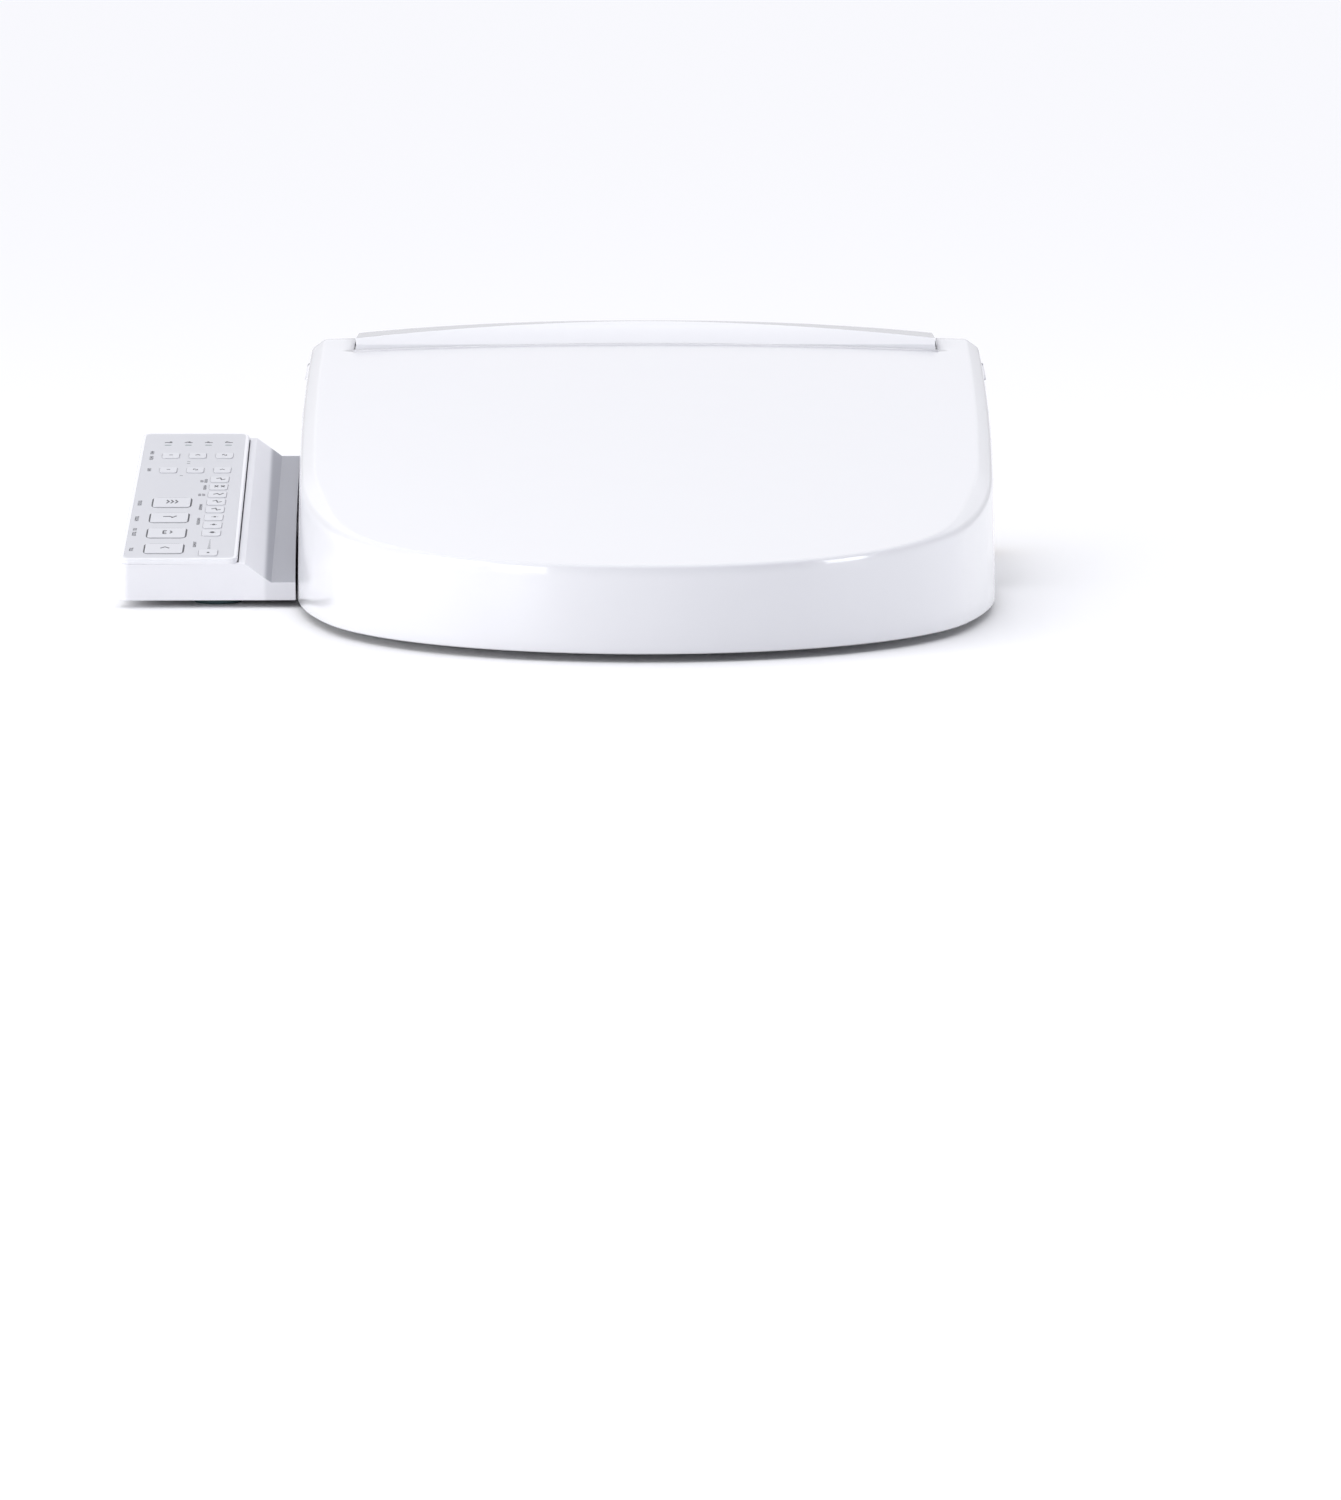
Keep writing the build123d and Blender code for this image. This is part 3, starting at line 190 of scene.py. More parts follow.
def material(name, base, rough, coat=0.0, bump=0.0, scale=400.0, vary=0.02, metallic=0.0):
    """A moulded or machined surface: faint mottling in colour and roughness, and a fine bump."""
    mat = bpy.data.materials.new(name)
    mat.use_nodes = True
    tree = mat.node_tree
    shader = tree.nodes["Principled BSDF"]
    shader.inputs["Metallic"].default_value = metallic
    shader.inputs["Coat Weight"].default_value = coat
    shader.inputs["Coat Roughness"].default_value = COAT_ROUGH
    place = tree.nodes.new("ShaderNodeTexCoord")
    cloud = tree.nodes.new("ShaderNodeTexNoise")
    cloud.inputs["Scale"].default_value = CLOUD_SCALE
    cloud.inputs["Detail"].default_value = CLOUD_DETAIL
    tree.links.new(place.outputs["Object"], cloud.inputs["Vector"])
    dark = (*[c * (1 - vary) for c in base], 1)
    light = (*[min(1, c * (1 + vary)) for c in base], 1)
    tone = mix_colours(tree, cloud.outputs["Fac"], dark, light)
    tree.links.new(tone, shader.inputs["Base Color"])
    span = tree.nodes.new("ShaderNodeMapRange")
    span.inputs["To Min"].default_value = rough * (1 - ROUGH_SPREAD)
    span.inputs["To Max"].default_value = min(1, rough * (1 + ROUGH_SPREAD))
    tree.links.new(cloud.outputs["Fac"], span.inputs["Value"])
    tree.links.new(span.outputs["Result"], shader.inputs["Roughness"])
    if bump:
        grain = tree.nodes.new("ShaderNodeTexNoise")
        grain.inputs["Scale"].default_value = scale
        grain.inputs["Detail"].default_value = GRAIN_DETAIL
        tree.links.new(place.outputs["Object"], grain.inputs["Vector"])
        relief = tree.nodes.new("ShaderNodeBump")
        relief.inputs["Strength"].default_value = bump
        relief.inputs["Distance"].default_value = GRAIN_DEPTH
        tree.links.new(grain.outputs["Fac"], relief.inputs["Height"])
        tree.links.new(relief.outputs["Normal"], shader.inputs["Normal"])
    return mat


FINISHES = {                          # base colour, roughness and the rest of each look
    "white_gloss": ((0.755, 0.757, 0.785), 0.22, dict(coat=0.5, vary=0.006)),
    # strip_white: the same white plastic as white_gloss, painted lighter: painted light
    "strip_white": ((0.83, 0.832, 0.86), 0.22, dict(coat=0.5, vary=0.006)),
    "white_matte": ((0.80, 0.805, 0.82), 0.5, dict(bump=0.15, vary=0.015)),
    "panel_grey": ((0.78, 0.785, 0.80), 0.42, dict(bump=0.12, scale=900)),
    "panel_film": ((0.615, 0.62, 0.65), 0.38, dict(bump=0.10, scale=1200)),
    "key_grey": ((0.665, 0.67, 0.70), 0.38, dict(bump=0.10, scale=1200)),
    # grey_rubber: dark teal-grey, partly a rubber foot's own dark colour and partly painted shade
    # with a painted teal reflection, for the shaded underside below the panel
    "grey_rubber": ((0.09, 0.15, 0.16), 0.6, dict(bump=0.3, scale=700, vary=0.08)),
    "black_rubber": ((0.02, 0.02, 0.022), 0.6, dict(bump=0.3, scale=600, vary=0.1)),
    "dark_plastic": ((0.05, 0.052, 0.056), 0.5, dict(bump=0.3, scale=500, vary=0.1)),
    "steel": ((0.55, 0.56, 0.58), 0.3, dict(bump=0.15, metallic=1.0, vary=0.05)),
    "wand_white": ((0.82, 0.83, 0.85), 0.25, dict(coat=0.3, vary=0.01)),
    "brass": ((0.70, 0.50, 0.22), 0.28, dict(bump=0.1, metallic=1.0, vary=0.06)),
    "board_green": ((0.02, 0.13, 0.06), 0.35, dict(bump=0.25, vary=0.15)),
    "lamp": ((0.28, 0.34, 0.34), 0.3, dict(vary=0.03)),
    "print": ((0.085, 0.088, 0.10), 0.5, dict(bump=0.1, scale=900, vary=0.12)),
    "smoked": ((0.012, 0.010, 0.014), 0.08, dict(coat=0.5, vary=0.1)),
}
LOOKS = {
    name: material(name, base, rough, **rest) for name, (base, rough, rest) in FINISHES.items()
}


def paint_shelf_shade(name, base):
    """The case with painted shade: the top of the shelf beside the lid is painted darker than its
    sides, for the shade that falls there.
    """
    mat = material(name, base, CASE_ROUGH, bump=0.12, scale=900)
    tree = mat.node_tree
    shader = tree.nodes["Principled BSDF"]
    light = shader.inputs["Base Color"].links[0].from_socket
    place, normal = tree.nodes.new("ShaderNodeTexCoord"), tree.nodes.new("ShaderNodeNewGeometry")
    split = {}
    for key, socket in (("at", place.outputs["Object"]), ("up", normal.outputs["Normal"])):
        split[key] = tree.nodes.new("ShaderNodeSeparateXYZ")
        tree.links.new(socket, split[key].inputs["Vector"])
    leaning = math_node(tree, "MULTIPLY", split["at"].outputs["Y"], SHELF_LEAN)
    across = math_node(tree, "ADD", split["at"].outputs["X"], leaning)
    beside = fade(tree, across, SHELF_FROM, SHELF_FROM + SHELF_SOFT)
    upward = fade(tree, split["up"].outputs["Z"], *SIDE_TO_TOP)
    upward = math_node(tree, "MULTIPLY", upward, 1 - SIDE_SHADE_SHARE)
    upward = math_node(tree, "ADD", upward, SIDE_SHADE_SHARE)
    share = math_node(tree, "MULTIPLY", beside, upward)
    tree.links.new(mix_colours(tree, share, light, SHELF_SHADE_TONE), shader.inputs["Base Color"])
    return mat


# painted shade on the panel's case: the shelf beside the lid, darker on top, and reaching onto the
# flank
CASE_ROUGH = 0.42
SHELF_SHADE_TONE = (0.36, 0.365, 0.40, 1)
SHELF_LEAN = 0.033          # the painted shade's edge leans out towards the back
SHELF_FROM, SHELF_SOFT = -0.2205, 0.003
SIDE_TO_TOP = (0.2, 0.8)    # upward part of the normal, from a side to the top
SIDE_SHADE_SHARE = 0.3            # how much of the painted shade the sides take beside its top
LOOKS["panel_case_painted_shade"] = paint_shelf_shade("panel_case_painted_shade", (0.80, 0.80, 0.83))
SLOT_OF = {part["node"]: part["material_slot"] for part in frame["record"]["subparts"]}


def dress(obj, slot):
    """Give a piece one of the looks."""
    obj.data.materials.clear()
    obj.data.materials.append(LOOKS[slot])
    return obj


# ---- mesh helpers, in millimetres ---------------------------------------------------------------
MERGE = 0.01                # points nearer than this are one


def mesh_piece(name, body, slot, verts, faces, smooth_angle=40.0, look=None):
    """A piece from points in millimetres, with doubles merged and its normals facing out."""
    mesh = bpy.data.meshes.new(name)
    mesh.from_pydata([(x * MM, y * MM, z * MM) for x, y, z in verts], [], faces)
    work = bmesh.new()
    work.from_mesh(mesh)
    bmesh.ops.remove_doubles(work, verts=work.verts, dist=MERGE * MM)
    bmesh.ops.dissolve_degenerate(work, edges=work.edges, dist=MERGE / 2 * MM)
    bmesh.ops.recalc_face_normals(work, faces=work.faces)
    work.to_mesh(mesh)
    work.free()
    piece = bpy.data.objects.new(name, mesh)
    scene.collection.objects.link(piece)
    mesh.shade_smooth()
    mesh.set_sharp_from_angle(angle=math.radians(smooth_angle))
    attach(piece, body)
    return dress(piece, look or slot)


def rounded_corner(before, corner, after, steps):
    """Points of a smooth bend at a corner, from before to after."""
    points = []
    for step in range(steps + 1):
        t = step / steps
        points.append(before * (1 - t) ** 2 + corner * (2 * t * (1 - t)) + after * t**2)
    return points


def smoothstep(low, high, value):
    """From 0 to 1 as value goes from low to high."""
    t = min(1.0, max(0.0, (value - low) / (high - low)))
    return t * t * (3 - 2 * t)


def spread(marks, counts):
    """Values from the first mark to the last, evenly spaced between one mark and the next."""
    values = [marks[0]]
    for low, high, count in zip(marks, marks[1:], counts):
        values += [low + (high - low) * (step + 1) / count for step in range(count)]
    return values


# ---- lid ----------------------------------------------------------------------------------------
LID_LOW, LID_HIGH = [Vector(corner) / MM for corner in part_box("lid_cover")]
NOSE_R, CORNER_R, SIDE_R = 181.5, 430.0, 5296.0
SIDE_Y = 40.0
EDGE_Y, EDGE_Z, SLOPE = -468.5, 50.5, 0.156
CROWN_X, CROWN_FRONT, CROWN_SEAM = 171.5, 10.6, 3.3
SEAM_Y, SEAM_SIDE_Y, SEAM_R = 9.2, 7.8, 31.6
HINGE_Y, HINGE_Z, EAR_R = 38.0, 112.0, 13.6
ARM_X, COWL_X = 172.5, 187.0
COWL_END = 8.0              # degrees: the cowls over the seat's arms end just above the axis
EAR_END = -99.0
SKIRT_Z, SKIRT_REAR_Z = 4.5, 32.0
TAIL = Vector((27.0, 100.0))  # where the skirt's rising rear edge meets the ear, in Y and Z
TILT = math.atan(SLOPE)
NOSE_STEPS, CORNER_STEPS = 44, 26
RISE_FROM, RISE_TO, RISE_END = -160, -132, -8   # the skirt's edge rises over the first two
SIDE_STEPS = [10, 14, 12, 4]
EAR_STEPS, ROUND_STEPS = [6, 4], [14, 12]
LIP_DEPTHS = (0.25, 0.9, 2.4, 4.2, 6.5)         # down the seam's cylinder
LIP_OUT = 0.25
LIP_ROUND = ((0.25, 0.5), (0.8, 0.0))           # inset and rise round the skirt's lip
LIP_TOP = 1.2
SHOULDER_SPAN = (168, 292)  # along the outline, where the crease leaves the lid's edge
FAR_BACK = 1000             # a length along the outline past the point where the shoulder is widest
SHELL_WALL = 2.0


def lid_arcs():
    """Centres of the nose, corner and side arcs, in plan."""
    side = Vector((LID_HIGH.x - SIDE_R, SIDE_Y))
    nose = Vector((0, LID_LOW.y + NOSE_R))
    gap = nose - side
    along = ((SIDE_R - CORNER_R) ** 2 - (CORNER_R - NOSE_R) ** 2 + gap.length**2) / 2 / gap.length
    across = math.sqrt((SIDE_R - CORNER_R) ** 2 - along**2)
    unit = gap.normalized()
    corner = side + unit * along - Vector((unit.y, -unit.x)) * across
    return nose, corner, side


NOSE_ARC, CORNER_ARC, SIDE_ARC = lid_arcs()


def lid_top(x, y):
    """Height of the crowned top face."""
    crown = CROWN_FRONT + (CROWN_SEAM - CROWN_FRONT) * (y - EDGE_Y) / (SEAM_Y - EDGE_Y)
    return EDGE_Z + SLOPE * (y - EDGE_Y) - crown * (x / CROWN_X) ** 2


def side_station(y):
    """The outline at y on the side arc: its point, and the direction out of the lid there."""
    sine = (y - SIDE_Y) / SIDE_R
    out = Vector((math.sqrt(1 - sine**2), sine))
    return SIDE_ARC + out * SIDE_R, out


def lid_stations():
    """Places along the right half of the outline, from the front to the seam."""
    stations = []
    bend = CORNER_ARC - NOSE_ARC
    nose_end = math.atan2(-bend.y, -bend.x)
    for turn in spread([-math.pi / 2, nose_end], [NOSE_STEPS]):
        out = Vector((math.cos(turn), math.sin(turn)))
        stations.append((NOSE_ARC + out * NOSE_R, out))
    bend = CORNER_ARC - SIDE_ARC
    side_start = math.atan2(bend.y, bend.x)
    for turn in spread([nose_end, side_start], [CORNER_STEPS])[1:]:
        out = Vector((math.cos(turn), math.sin(turn)))
        stations.append((CORNER_ARC + out * CORNER_R, out))
    side_y = stations[-1][0].y
    for y in spread([side_y, RISE_FROM, RISE_TO, RISE_END, SEAM_SIDE_Y], SIDE_STEPS)[1:]:
        stations.append(side_station(y))
    return stations


def skirt_edge(y):
    """Height of the skirt's lower edge: low in front, raised beside the main unit."""
    if y > RISE_END:
        share = (y - RISE_END) / (TAIL.x - RISE_END)
        return SKIRT_REAR_Z + (TAIL.y - SKIRT_REAR_Z) * share
    return SKIRT_Z + (SKIRT_REAR_Z - SKIRT_Z) * smoothstep(RISE_FROM + 2, RISE_TO - 2, y)


def shoulder(way):
    """(inset, drop) over the crease and the shoulder, down to the wall.

    way is the length along the outline from its front, over which the crease goes from the edge
    of the lid to a wide sloping shoulder.
    """
    wide = smoothstep(*SHOULDER_SPAN, way)
    lean = 1.0 + 0.4 * wide
    width = 1.7 + 6.9 * wide
    pitch = math.radians(38 - 4 * wide)
    crease = Vector((lean + width, 0))
    lower = Vector((lean, width * math.tan(pitch)))
    slope = (lower - crease).normalized()
    bend = 0.7 + 0.6 * wide
    into = min(0.45 * (lower - crease).length, 3.0)
    points = rounded_corner(crease + Vector((bend, 0)), crease, crease + slope * bend, 5)
    points += rounded_corner(lower - slope * into, lower, lower + Vector((0, 7.0 - wide)), 8)
    return points, lean


ARM_COLUMN = 12             # the column that runs down the inside of the ears
COWL_COLUMN = 14            # and the one at the outside of the cowls
WALL_STEPS = 7
COLUMN_STEPS = [12, 2, 2]   # from the middle to the arm, the cowl and the crease


def column_shares():
    """How far each column lies from the lid's middle, as a share of the way to the crease."""
    out, _ = side_station(SEAM_SIDE_Y)
    crease = out.x - shoulder(FAR_BACK)[0][0].x
    return spread([0, ARM_X / crease, COWL_X / crease, 1], COLUMN_STEPS)


SHARES = column_shares()


def seam_line(x):
    """Y and Z where the top face meets the seam's cylinder about the hinge axis."""
    y = SEAM_Y
    for _ in range(6):
        y = HINGE_Y - math.sqrt(SEAM_R**2 - (lid_top(x, y) - HINGE_Z) ** 2)
    return y, lid_top(x, y)


def skirt_drop(row, point, out, lean, low):
    """Carry a row on down the wall and round the lip, to a lowest point given in Y and Z."""
    start = Vector(row[-1])
    for step in range(1, WALL_STEPS + 1):
        share = step / WALL_STEPS
        x, y = point - out * (lean * (1 - share))
        height = start.z + (low.y + LIP_TOP - start.z) * share
        row.append((x, y + (low.x - point.y) * share, height))
    for inset, rise in LIP_ROUND:
        x, y = point - out * inset
        row.append((x, y + low.x - point.y, low.y + rise))


def lid_row(point, out, way, seam=False):
    """One row of the lid, from its middle over the crease and down the skirt."""
    edge, lean = shoulder(way)
    crease = point - out * edge[0].x
    spine = Vector((0, max(crease.y, NOSE_ARC.y)))
    row = []
    for share in SHARES[:-1]:
        x, y = spine.lerp(crease, share)
        if seam and share <= SHARES[ARM_COLUMN]:
            y = seam_line(x)[0]
        row.append((x, y, lid_top(x, y)))
    for inset, drop in edge:
        x, y = point - out * inset
        row.append((x, y, lid_top(x, y) - drop))
    low = TAIL if point.y > TAIL.x else Vector((point.y, skirt_edge(point.y)))
    skirt_drop(row, point, out, lean, low)
    return row


def ear_row(turn):
    """One row of an ear's round end, at an angle about the hinge axis."""
    edge, _ = shoulder(FAR_BACK)
    point, _ = side_station(HINGE_Y)
    inner = point.x - edge[0].x
    insets = [(point.x - inner * share, 0.0) for share in SHARES[ARM_COLUMN:-1]]
    top_y = HINGE_Y - EAR_R * math.sin(TILT)
    row = []
    for inset, drop in insets + [tuple(pair) for pair in edge]:
        x = point.x - inset
        extra = (lid_top(x, top_y) - HINGE_Z) / math.cos(TILT) - EAR_R
        radius = EAR_R + extra * max(0.0, math.sin(turn)) - drop
        row.append(around_hinge(x, radius, turn))
    start = Vector(row[-1])
    foot = Vector((point.x, TAIL.x, TAIL.y + LIP_TOP))
    for step in range(1, WALL_STEPS + 1):
        row.append(tuple(start.lerp(foot, step / WALL_STEPS)))
    for inset, rise in LIP_ROUND:
        row.append((point.x - inset, TAIL.x, TAIL.y + rise))
    return row


def quads(rows, faces, flip):
    """Join neighbouring rows of point numbers with four-sided faces."""
    for near, far in zip(rows, rows[1:]):
        for a, b, c, d in zip(near, near[1:], far[1:], far):
            faces.append((a, d, c, b) if flip else (a, b, c, d))


def around_hinge(x, radius, turn):
    """A point on a cylinder about the hinge axis."""
    return x, HINGE_Y + radius * math.cos(turn), HINGE_Z + radius * math.sin(turn)


def seam_lip(row):
    """Rows down the seam's cylinder, from the top face's last row."""
    lip = []
    for depth in LIP_DEPTHS:
        lip.append([])
        for x, y, z in row:
            turn = math.atan2(z - HINGE_Z, y - HINGE_Y) + depth / SEAM_R
            radius = SEAM_R + (LIP_OUT if depth > LIP_DEPTHS[0] else LIP_OUT / 5)
            lip[-1].append(around_hinge(x, radius, turn))
    return lip


def build_lid():
    """The lid's shell: crowned top, creased shoulder, skirt, seam lip and ears."""
    rows, way, last = [], 0.0, None
    stations = lid_stations()
    for number, (point, out) in enumerate(stations):
        if last is not None:
            way += (point - last).length
        last = point
        rows.append(lid_row(point, out, way, seam=number == len(stations) - 1))
    lip = seam_lip(rows[-1][: ARM_COLUMN + 1])
    ear_start = HINGE_Y - EAR_R * math.sin(TILT)
    ear = [rows[-1][ARM_COLUMN:]]
    for y in spread([SEAM_SIDE_Y, TAIL.x, ear_start], EAR_STEPS)[1:]:
        point, out = side_station(y)
        ear.append(lid_row(point, out, FAR_BACK)[ARM_COLUMN:])
    start = math.pi / 2 + TILT
    cowl_end, ear_end = math.radians(COWL_END), math.radians(EAR_END)
    round_rows = [ear_row(turn) for turn in spread([start, cowl_end, ear_end], ROUND_STEPS)]
    cowl = ROUND_STEPS[0]
    verts, faces = [], []
    for side in (1, -1):
        def number(row):
            first = len(verts)
            verts.extend((side * x, y, z) for x, y, z in row)
            return list(range(first, len(verts)))
        flip = side < 0
        main = [number(row) for row in rows]
        quads(main, faces, flip)
        quads([main[-1][: ARM_COLUMN + 1]] + [number(row) for row in lip], faces, flip)
        quads([number(row) for row in ear + round_rows[1 : cowl + 1]], faces, flip)
        beyond = COWL_COLUMN - ARM_COLUMN
        quads([number(row[beyond:]) for row in round_rows[cowl:]], faces, flip)
    shell = mesh_piece("lid_shell", "lid", "white_gloss", verts, faces, 60)
    wall = shell.modifiers.new("wall", "SOLIDIFY")
    wall.thickness = SHELL_WALL * MM
    wall.offset = -1
    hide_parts("lid_cover")
    return shell


# ---- control panel: signs and strokes, painted shade rings and painted highlight rims round the keys ---
PANEL_LOW = Vector(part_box("panel_upper_case")[0]) / MM
FACE_ANGLE = math.atan(0.29)
FACE_U = Vector((1, 0, 0))
FACE_V = Vector((0, math.cos(FACE_ANGLE), math.sin(FACE_ANGLE)))
FACE_N = FACE_U.cross(FACE_V)
FACE_ORIGIN = Vector((PANEL_LOW.x, -241.0, 27.2))
KEY_RISE = 0.35             # the keys' tops above the face
PRINT = 0.05                # thickness of the printing
BIG_KEY = Vector((21.0, 13.6))
SIDE_KEY, SMALL_KEY, KEY_CORNER = (10.4, 8.6), (9.8, 8.2), 1.6
HIGHLIGHT_RIM_OUT, HIGHLIGHT_RIM_W = 0.16, 0.2  # the painted highlight rims' middle line outside the keys, and their width
SIDE_U, SIDE_V, SIDE_STEP = 48.6, 37.2, 11.3
SMALL_U, SMALL_V, SMALL_STEP = 18.4, 130.4, Vector((15.4, 22.2))
BIG_U, BIG_V, BIG_STEP = 23.7, 15.0, 22.3
POWER_AT = (48.6, 8.8)
# painted shade round the big keys: the rings' offset and corner, and their widths
SHADE_RING_OUT, SHADE_RING_CORNER = 0.55, 3.2
SHADE_RING_THIN, SHADE_RING_SWELL = 0.24, 0.34
HIGHLIGHT_RIM_DEPTH = -0.4            # the painted highlight rims lie in the gaps round the keys


def turned(points, at, scale, quarter=0):
    """Points of a sign in its unit square, placed on the face."""
    placed = []
    for x, y in points:
        for _ in range(quarter):
            x, y = -y, x
        placed.append(Vector((at[0] + x * scale, at[1] + y * scale)))
    return placed


def ribbon(points, widths, closed=False):
    """A flat mitred line on the face: its left and right edges."""
    left, right = [], []
    count = len(points)
    for number, point in enumerate(points):
        ends = []
        if closed or number > 0:
            ends.append((point - points[number - 1]).normalized())
        if closed or number < count - 1:
            ends.append((points[(number + 1) % count] - point).normalized())
        along = (ends[0] + ends[-1]).normalized()
        across = Vector((-along.y, along.x))
        first = Vector((-ends[0].y, ends[0].x))
        half = widths[number] / 2 / max(0.5, across.dot(first))
        left.append(point + across * half)
        right.append(point - across * half)
    return left, right


class Marks:
    """Thin closed strips and discs on the panel's face, gathered into one piece."""

    def __init__(self, low):
        self.low, self.verts, self.faces = low, [], []

    def put(self, point, height):
        spot = FACE_ORIGIN + FACE_U * point.x + FACE_V * point.y + FACE_N * height
        self.verts.append(tuple(spot))
        return len(self.verts) - 1

    def line(self, points, width, closed=False, widths=None):
        """A strip along points."""
        points = [Vector(point) for point in points]
        sides = ribbon(points, widths or [width] * len(points), closed)
        high = self.low + PRINT
        ring = [
            [self.put(*corner) for corner in ((l, high), (r, high), (r, self.low), (l, self.low))]
            for l, r in zip(*sides)
        ]
        pairs = list(zip(ring, ring[1:]))
        if closed:
            pairs.append((ring[-1], ring[0]))
        else:
            self.faces += [tuple(ring[0][::-1]), tuple(ring[-1])]
        for near, far in pairs:
            for corner in range(4):
                after = (corner + 1) % 4
                self.faces.append((near[corner], near[after], far[after], far[corner]))

    def dot(self, at, radius, sides=14):
        """A flat disc."""
        rings = []
        for height in (self.low, self.low + PRINT):
            rings.append([])
            for number in range(sides):
                turn = 2 * math.pi * number / sides
                spot = (at[0] + radius * math.cos(turn), at[1] + radius * math.sin(turn))
                rings[-1].append(self.put(Vector(spot), height))
        self.faces += [tuple(rings[0][::-1]), tuple(rings[1])]
        for number in range(sides):
            after = (number + 1) % sides
            low, high = rings
            self.faces.append((low[number], low[after], high[after], high[number]))

    def sign(self, strokes, at, scale, width, quarter=0):
        """A pictogram of one or more strokes."""
        for stroke in strokes:
            self.line(turned(stroke, at, scale, quarter), width)

    def piece(self, name, body):
        return mesh_piece(name, body, "dark_plastic", self.verts, self.faces, 30, look="print")


# ---- generic signs: strokes in a unit square
CHEVRONS = [[(x - 0.4, -0.9), (x + 0.1, 0), (x - 0.4, 0.9)] for x in (-0.9, 0.0, 0.9)]
SPRAY = [[(-1.5, 0.1), (-0.2, 0.25), (0.5, -0.2)], [(0.3, -0.5), (0.9, 0.1), (1.3, 0.5)]]
JETS = [
    [(-0.9, 0.8), (-0.9, -0.8)], [(-0.9, 0.8), (-0.2, 0.8)], [(-0.9, 0), (-0.3, 0)],
    [(-0.9, -0.8), (-0.2, -0.8)], [(0.5, -0.7), (0.9, 0), (0.5, 0.7)],
]
ROOF = [[(-0.9, -0.3), (0, 0.4), (0.9, -0.3)]]
BOLT = [[(-1, 0.2), (-0.2, 0.6), (0.1, -0.5), (1, -0.1)]]
CROSSES = [
    [(-1.1, -0.5), (-0.3, 0.5)], [(-1.1, 0.5), (-0.3, -0.5)],
    [(0.3, -0.5), (1.1, 0.5)], [(0.3, 0.5), (1.1, -0.5)],
]
RIDGE = [[(-1.1, -0.4), (-0.3, 0.5), (0.3, -0.2), (1.1, 0.3)]]
DASH = [[(-0.7, 0), (0.7, 0)]]
LOOP = [[(-0.7, -0.3), (-0.7, 0.5), (0.1, 0.5)], [(0.7, 0.3), (0.7, -0.5), (-0.1, -0.5)]]
BIG_SIGNS = {"stop": ROOF, "rear_wash": JETS, "front_wash": SPRAY, "dryer": CHEVRONS}
SIDE_SIGNS = [None, None, None, BOLT, BOLT, RIDGE, CROSSES, BOLT]
SIDE_NAMES = [
    "volume", "pulse", "sweep", "pressure_down", "pressure_up", "back", "forward", "child",
]
SMALL_SIGNS = [
    ("user_1", DASH), ("user_2", LOOP), ("auto_clean", ROOF),
    ("seat_heat", DASH), ("water_heat", ROOF), ("air_heat", LOOP),
]
# small print on the face: places with a number of letters
LEFT_PRINT = [
    ((5.6, 14.5), 4), ((5.6, 37), 5), ((5.6, 43.5), 3), ((5.6, 59), 6), ((5.6, 82), 6),
    ((7.4, 132), 4), ((7.4, 150), 5), ((7.4, 158), 4),
]
RIGHT_PRINT = [
    ((40.3, 21.5), 7), ((40.3, 55), 9), ((40.3, 76), 8), ((38.6, 94), 3), ((40.9, 94), 3),
    ((40.9, 105), 6), ((38.6, 114.5), 3), ((40.9, 115), 5),
]
STATUS_US, STATUS_V = (15.7, 27.3, 38.9, 50.5), 173
DASHES = ((29.2, 141.0), (29.2, 143.6), (26.3, 122.6))
WEDGE_BARS = 9


def key_signs():
    """A generic sign on each key, which moves with it."""
    for row, (name, strokes) in enumerate(BIG_SIGNS.items()):
        marks = Marks(KEY_RISE)
        marks.sign(strokes, (BIG_U + 0.5, BIG_V + BIG_STEP * row + 0.8), 2.7, 0.85)
        marks.piece(f"sign_{name}", f"key_{name}")
    for row, (name, strokes) in enumerate(zip(SIDE_NAMES, SIDE_SIGNS)):
        marks = Marks(KEY_RISE)
        at = (SIDE_U + 0.6, SIDE_V + SIDE_STEP * row + 0.6)
        if strokes is None:
            marks.dot(at, 1.25 - 0.2 * row)
            marks.line([(at[0] - 1.9, at[1]), (at[0] - 1.2, at[1])], 0.35)
            marks.line([(at[0] + 1.2, at[1]), (at[0] + 1.9, at[1])], 0.35)
        else:
            marks.sign(strokes, at, 2.6, 0.75, 2 * (row % 2))
        marks.piece(f"sign_{name}", f"key_{name}")
    for number, (name, strokes) in enumerate(SMALL_SIGNS):
        marks = Marks(KEY_RISE)
        u, v = small_key_at(number)
        marks.sign(strokes, (u, v + 0.6), 1.5, 0.65)
        marks.piece(f"sign_{name}", f"key_{name}")
    marks = Marks(KEY_RISE)
    marks.dot(POWER_AT, 0.8)
    marks.piece("sign_power", "key_power")


def rounded_rectangle(at, half, corner, steps):
    """Points round a rectangle with round corners, each with its direction as an angle."""
    for quarter, (sx, sy) in enumerate([(1, 1), (-1, 1), (-1, -1), (1, -1)]):
        for step in range(steps + 1):
            turn = math.pi / 2 * (quarter + step / steps)
            x = sx * (half.x - corner) + corner * math.cos(turn)
            y = sy * (half.y - corner) + corner * math.sin(turn)
            yield (at[0] + x, at[1] + y), turn


def key_shade_ring(marks, row):
    """Painted shade round a big key: a dark line, thickest at its two ends, where the shade falls.
    """
    half = BIG_KEY / 2 + Vector((SHADE_RING_OUT, SHADE_RING_OUT))
    outline = list(rounded_rectangle((BIG_U, BIG_V + BIG_STEP * row), half, SHADE_RING_CORNER, 6))
    widths = [SHADE_RING_THIN + SHADE_RING_SWELL * abs(math.cos(turn)) ** 2 for _, turn in outline]
    marks.line([point for point, _ in outline], 0, closed=True, widths=widths)


def small_key_at(number):
    """Middle of one of the six small keys, three to a row."""
    return SMALL_U + SMALL_STEP.x * (number % 3), SMALL_V + SMALL_STEP.y * (number // 3)


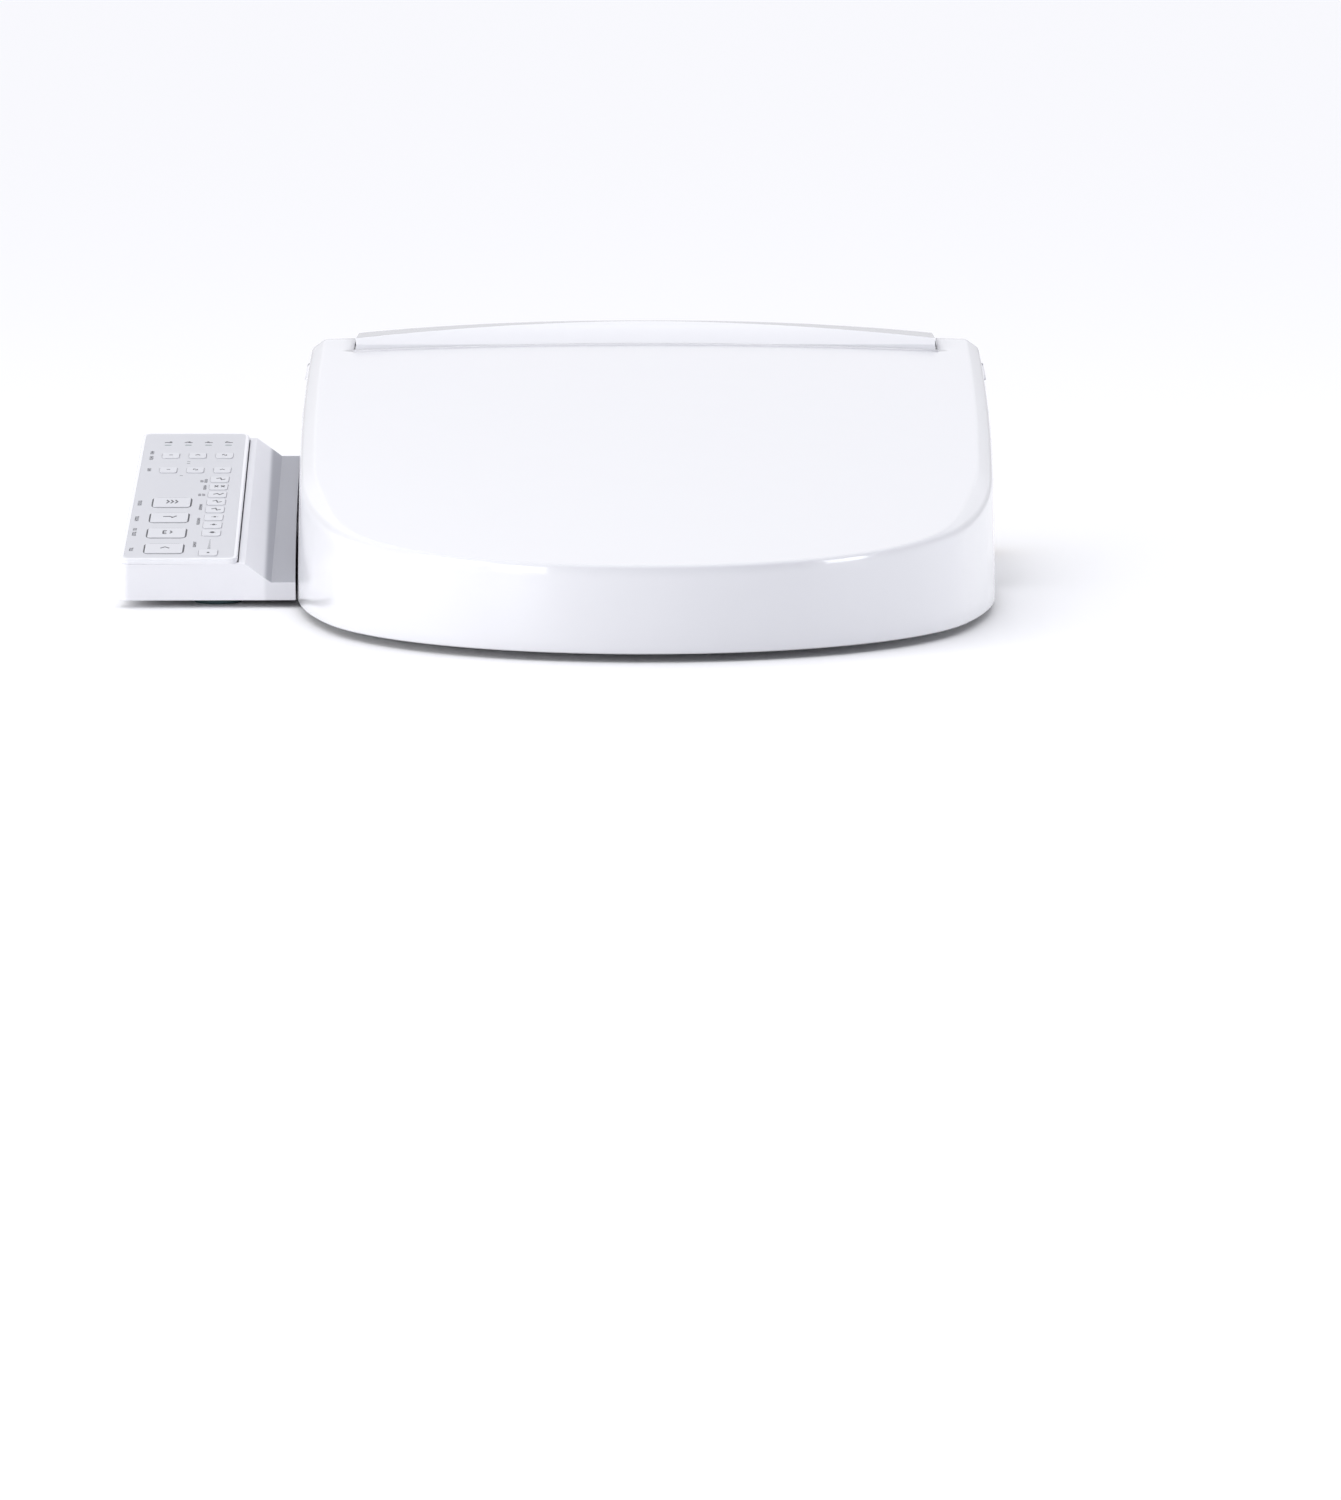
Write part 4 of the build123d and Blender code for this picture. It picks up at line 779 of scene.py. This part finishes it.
def key_highlight_rims():
    """Painted highlight: pale rims in the gaps round the smaller keys, for their lit white edges.
    """
    marks = Marks(HIGHLIGHT_RIM_DEPTH)
    places = [((SIDE_U, SIDE_V + SIDE_STEP * row), SIDE_KEY) for row in range(len(SIDE_NAMES))]
    places.append((POWER_AT, SIDE_KEY))
    places += [(small_key_at(number), SMALL_KEY) for number in range(len(SMALL_SIGNS))]
    for at, size in places:
        half = Vector(size) / 2 + Vector((HIGHLIGHT_RIM_OUT, HIGHLIGHT_RIM_OUT))
        outline = rounded_rectangle(at, half, KEY_CORNER + HIGHLIGHT_RIM_OUT, 4)
        marks.line([point for point, _ in outline], HIGHLIGHT_RIM_W, closed=True)
    return mesh_piece("key_highlight_rims", "main_unit", "white_matte", marks.verts, marks.faces, 30)


def small_print(marks, at, letters, rng, height=1.5, pitch=1.2):
    """Strokes in place of small print, running up the face: short bars and hooks."""
    for number in range(letters):
        v = at[1] + (number - letters / 2) * pitch
        u = at[0]
        marks.line([(u - height / 2, v), (u + height / 2, v)], 0.5)
        if rng.random() < 0.65:
            end = u + rng.choice((-1, 0, 1)) * (height / 2 - 0.17)
            marks.line([(end, v + 0.25), (end, v + 0.8)], 0.4)


def face_print_and_shade():
    """What is printed on the face itself: small print, the volume wedge, status signs; and painted
    shade, as dark rings round the big keys.
    """
    rng = random.Random(7)
    marks = Marks(0.0)
    # painted shade: dark rings round the big keys, in the print's look
    for row in range(len(BIG_SIGNS)):
        key_shade_ring(marks, row)
    for at, letters in LEFT_PRINT:
        small_print(marks, at, letters, rng, 2.1)
    for at, letters in RIGHT_PRINT:
        small_print(marks, at, letters, rng, 1.7, 1.1)
    for step in range(WEDGE_BARS):
        share = step / (WEDGE_BARS - 1)
        half, v = 0.25 + 0.55 * share, 28 - 12.5 * share
        marks.line([(SIDE_U - half, v), (SIDE_U + half, v)], 0.3 + 0.2 * share)
    for number, u in enumerate(STATUS_US):
        wave = [(-2.2, 0), (-0.6, 0.4 + 0.5 * (number % 2)), (0.7, 0), (2.2, 0.2)]
        marks.line([(u + across, STATUS_V + up) for across, up in wave], 0.8)
        marks.dot((u + 1.2 - number * 0.8, STATUS_V + 1), 0.7)
    for u, v in DASHES:
        marks.line([(u - 0.9, v), (u + 0.9, v)], 0.4)
    marks.piece("face_print_and_shade", "main_unit")


make_camera()
make_studio()
for node, obj in NODES.items():
    dress(obj, SLOT_OF[node])
    for poly in obj.data.polygons:
        poly.use_smooth = True
# the lower case gets the painted shade on its shelf
dress(NODES["panel_lower_case"], "panel_case_painted_shade")
# painted light: the rear strip and the panel's upper case take the lighter copy of the white, which
# lifts the upper case's shaded side wall
dress(NODES["top_cover"], "strip_white")
dress(NODES["panel_upper_case"], "strip_white")
build_lid()
key_signs()
key_highlight_rims()
face_print_and_shade()
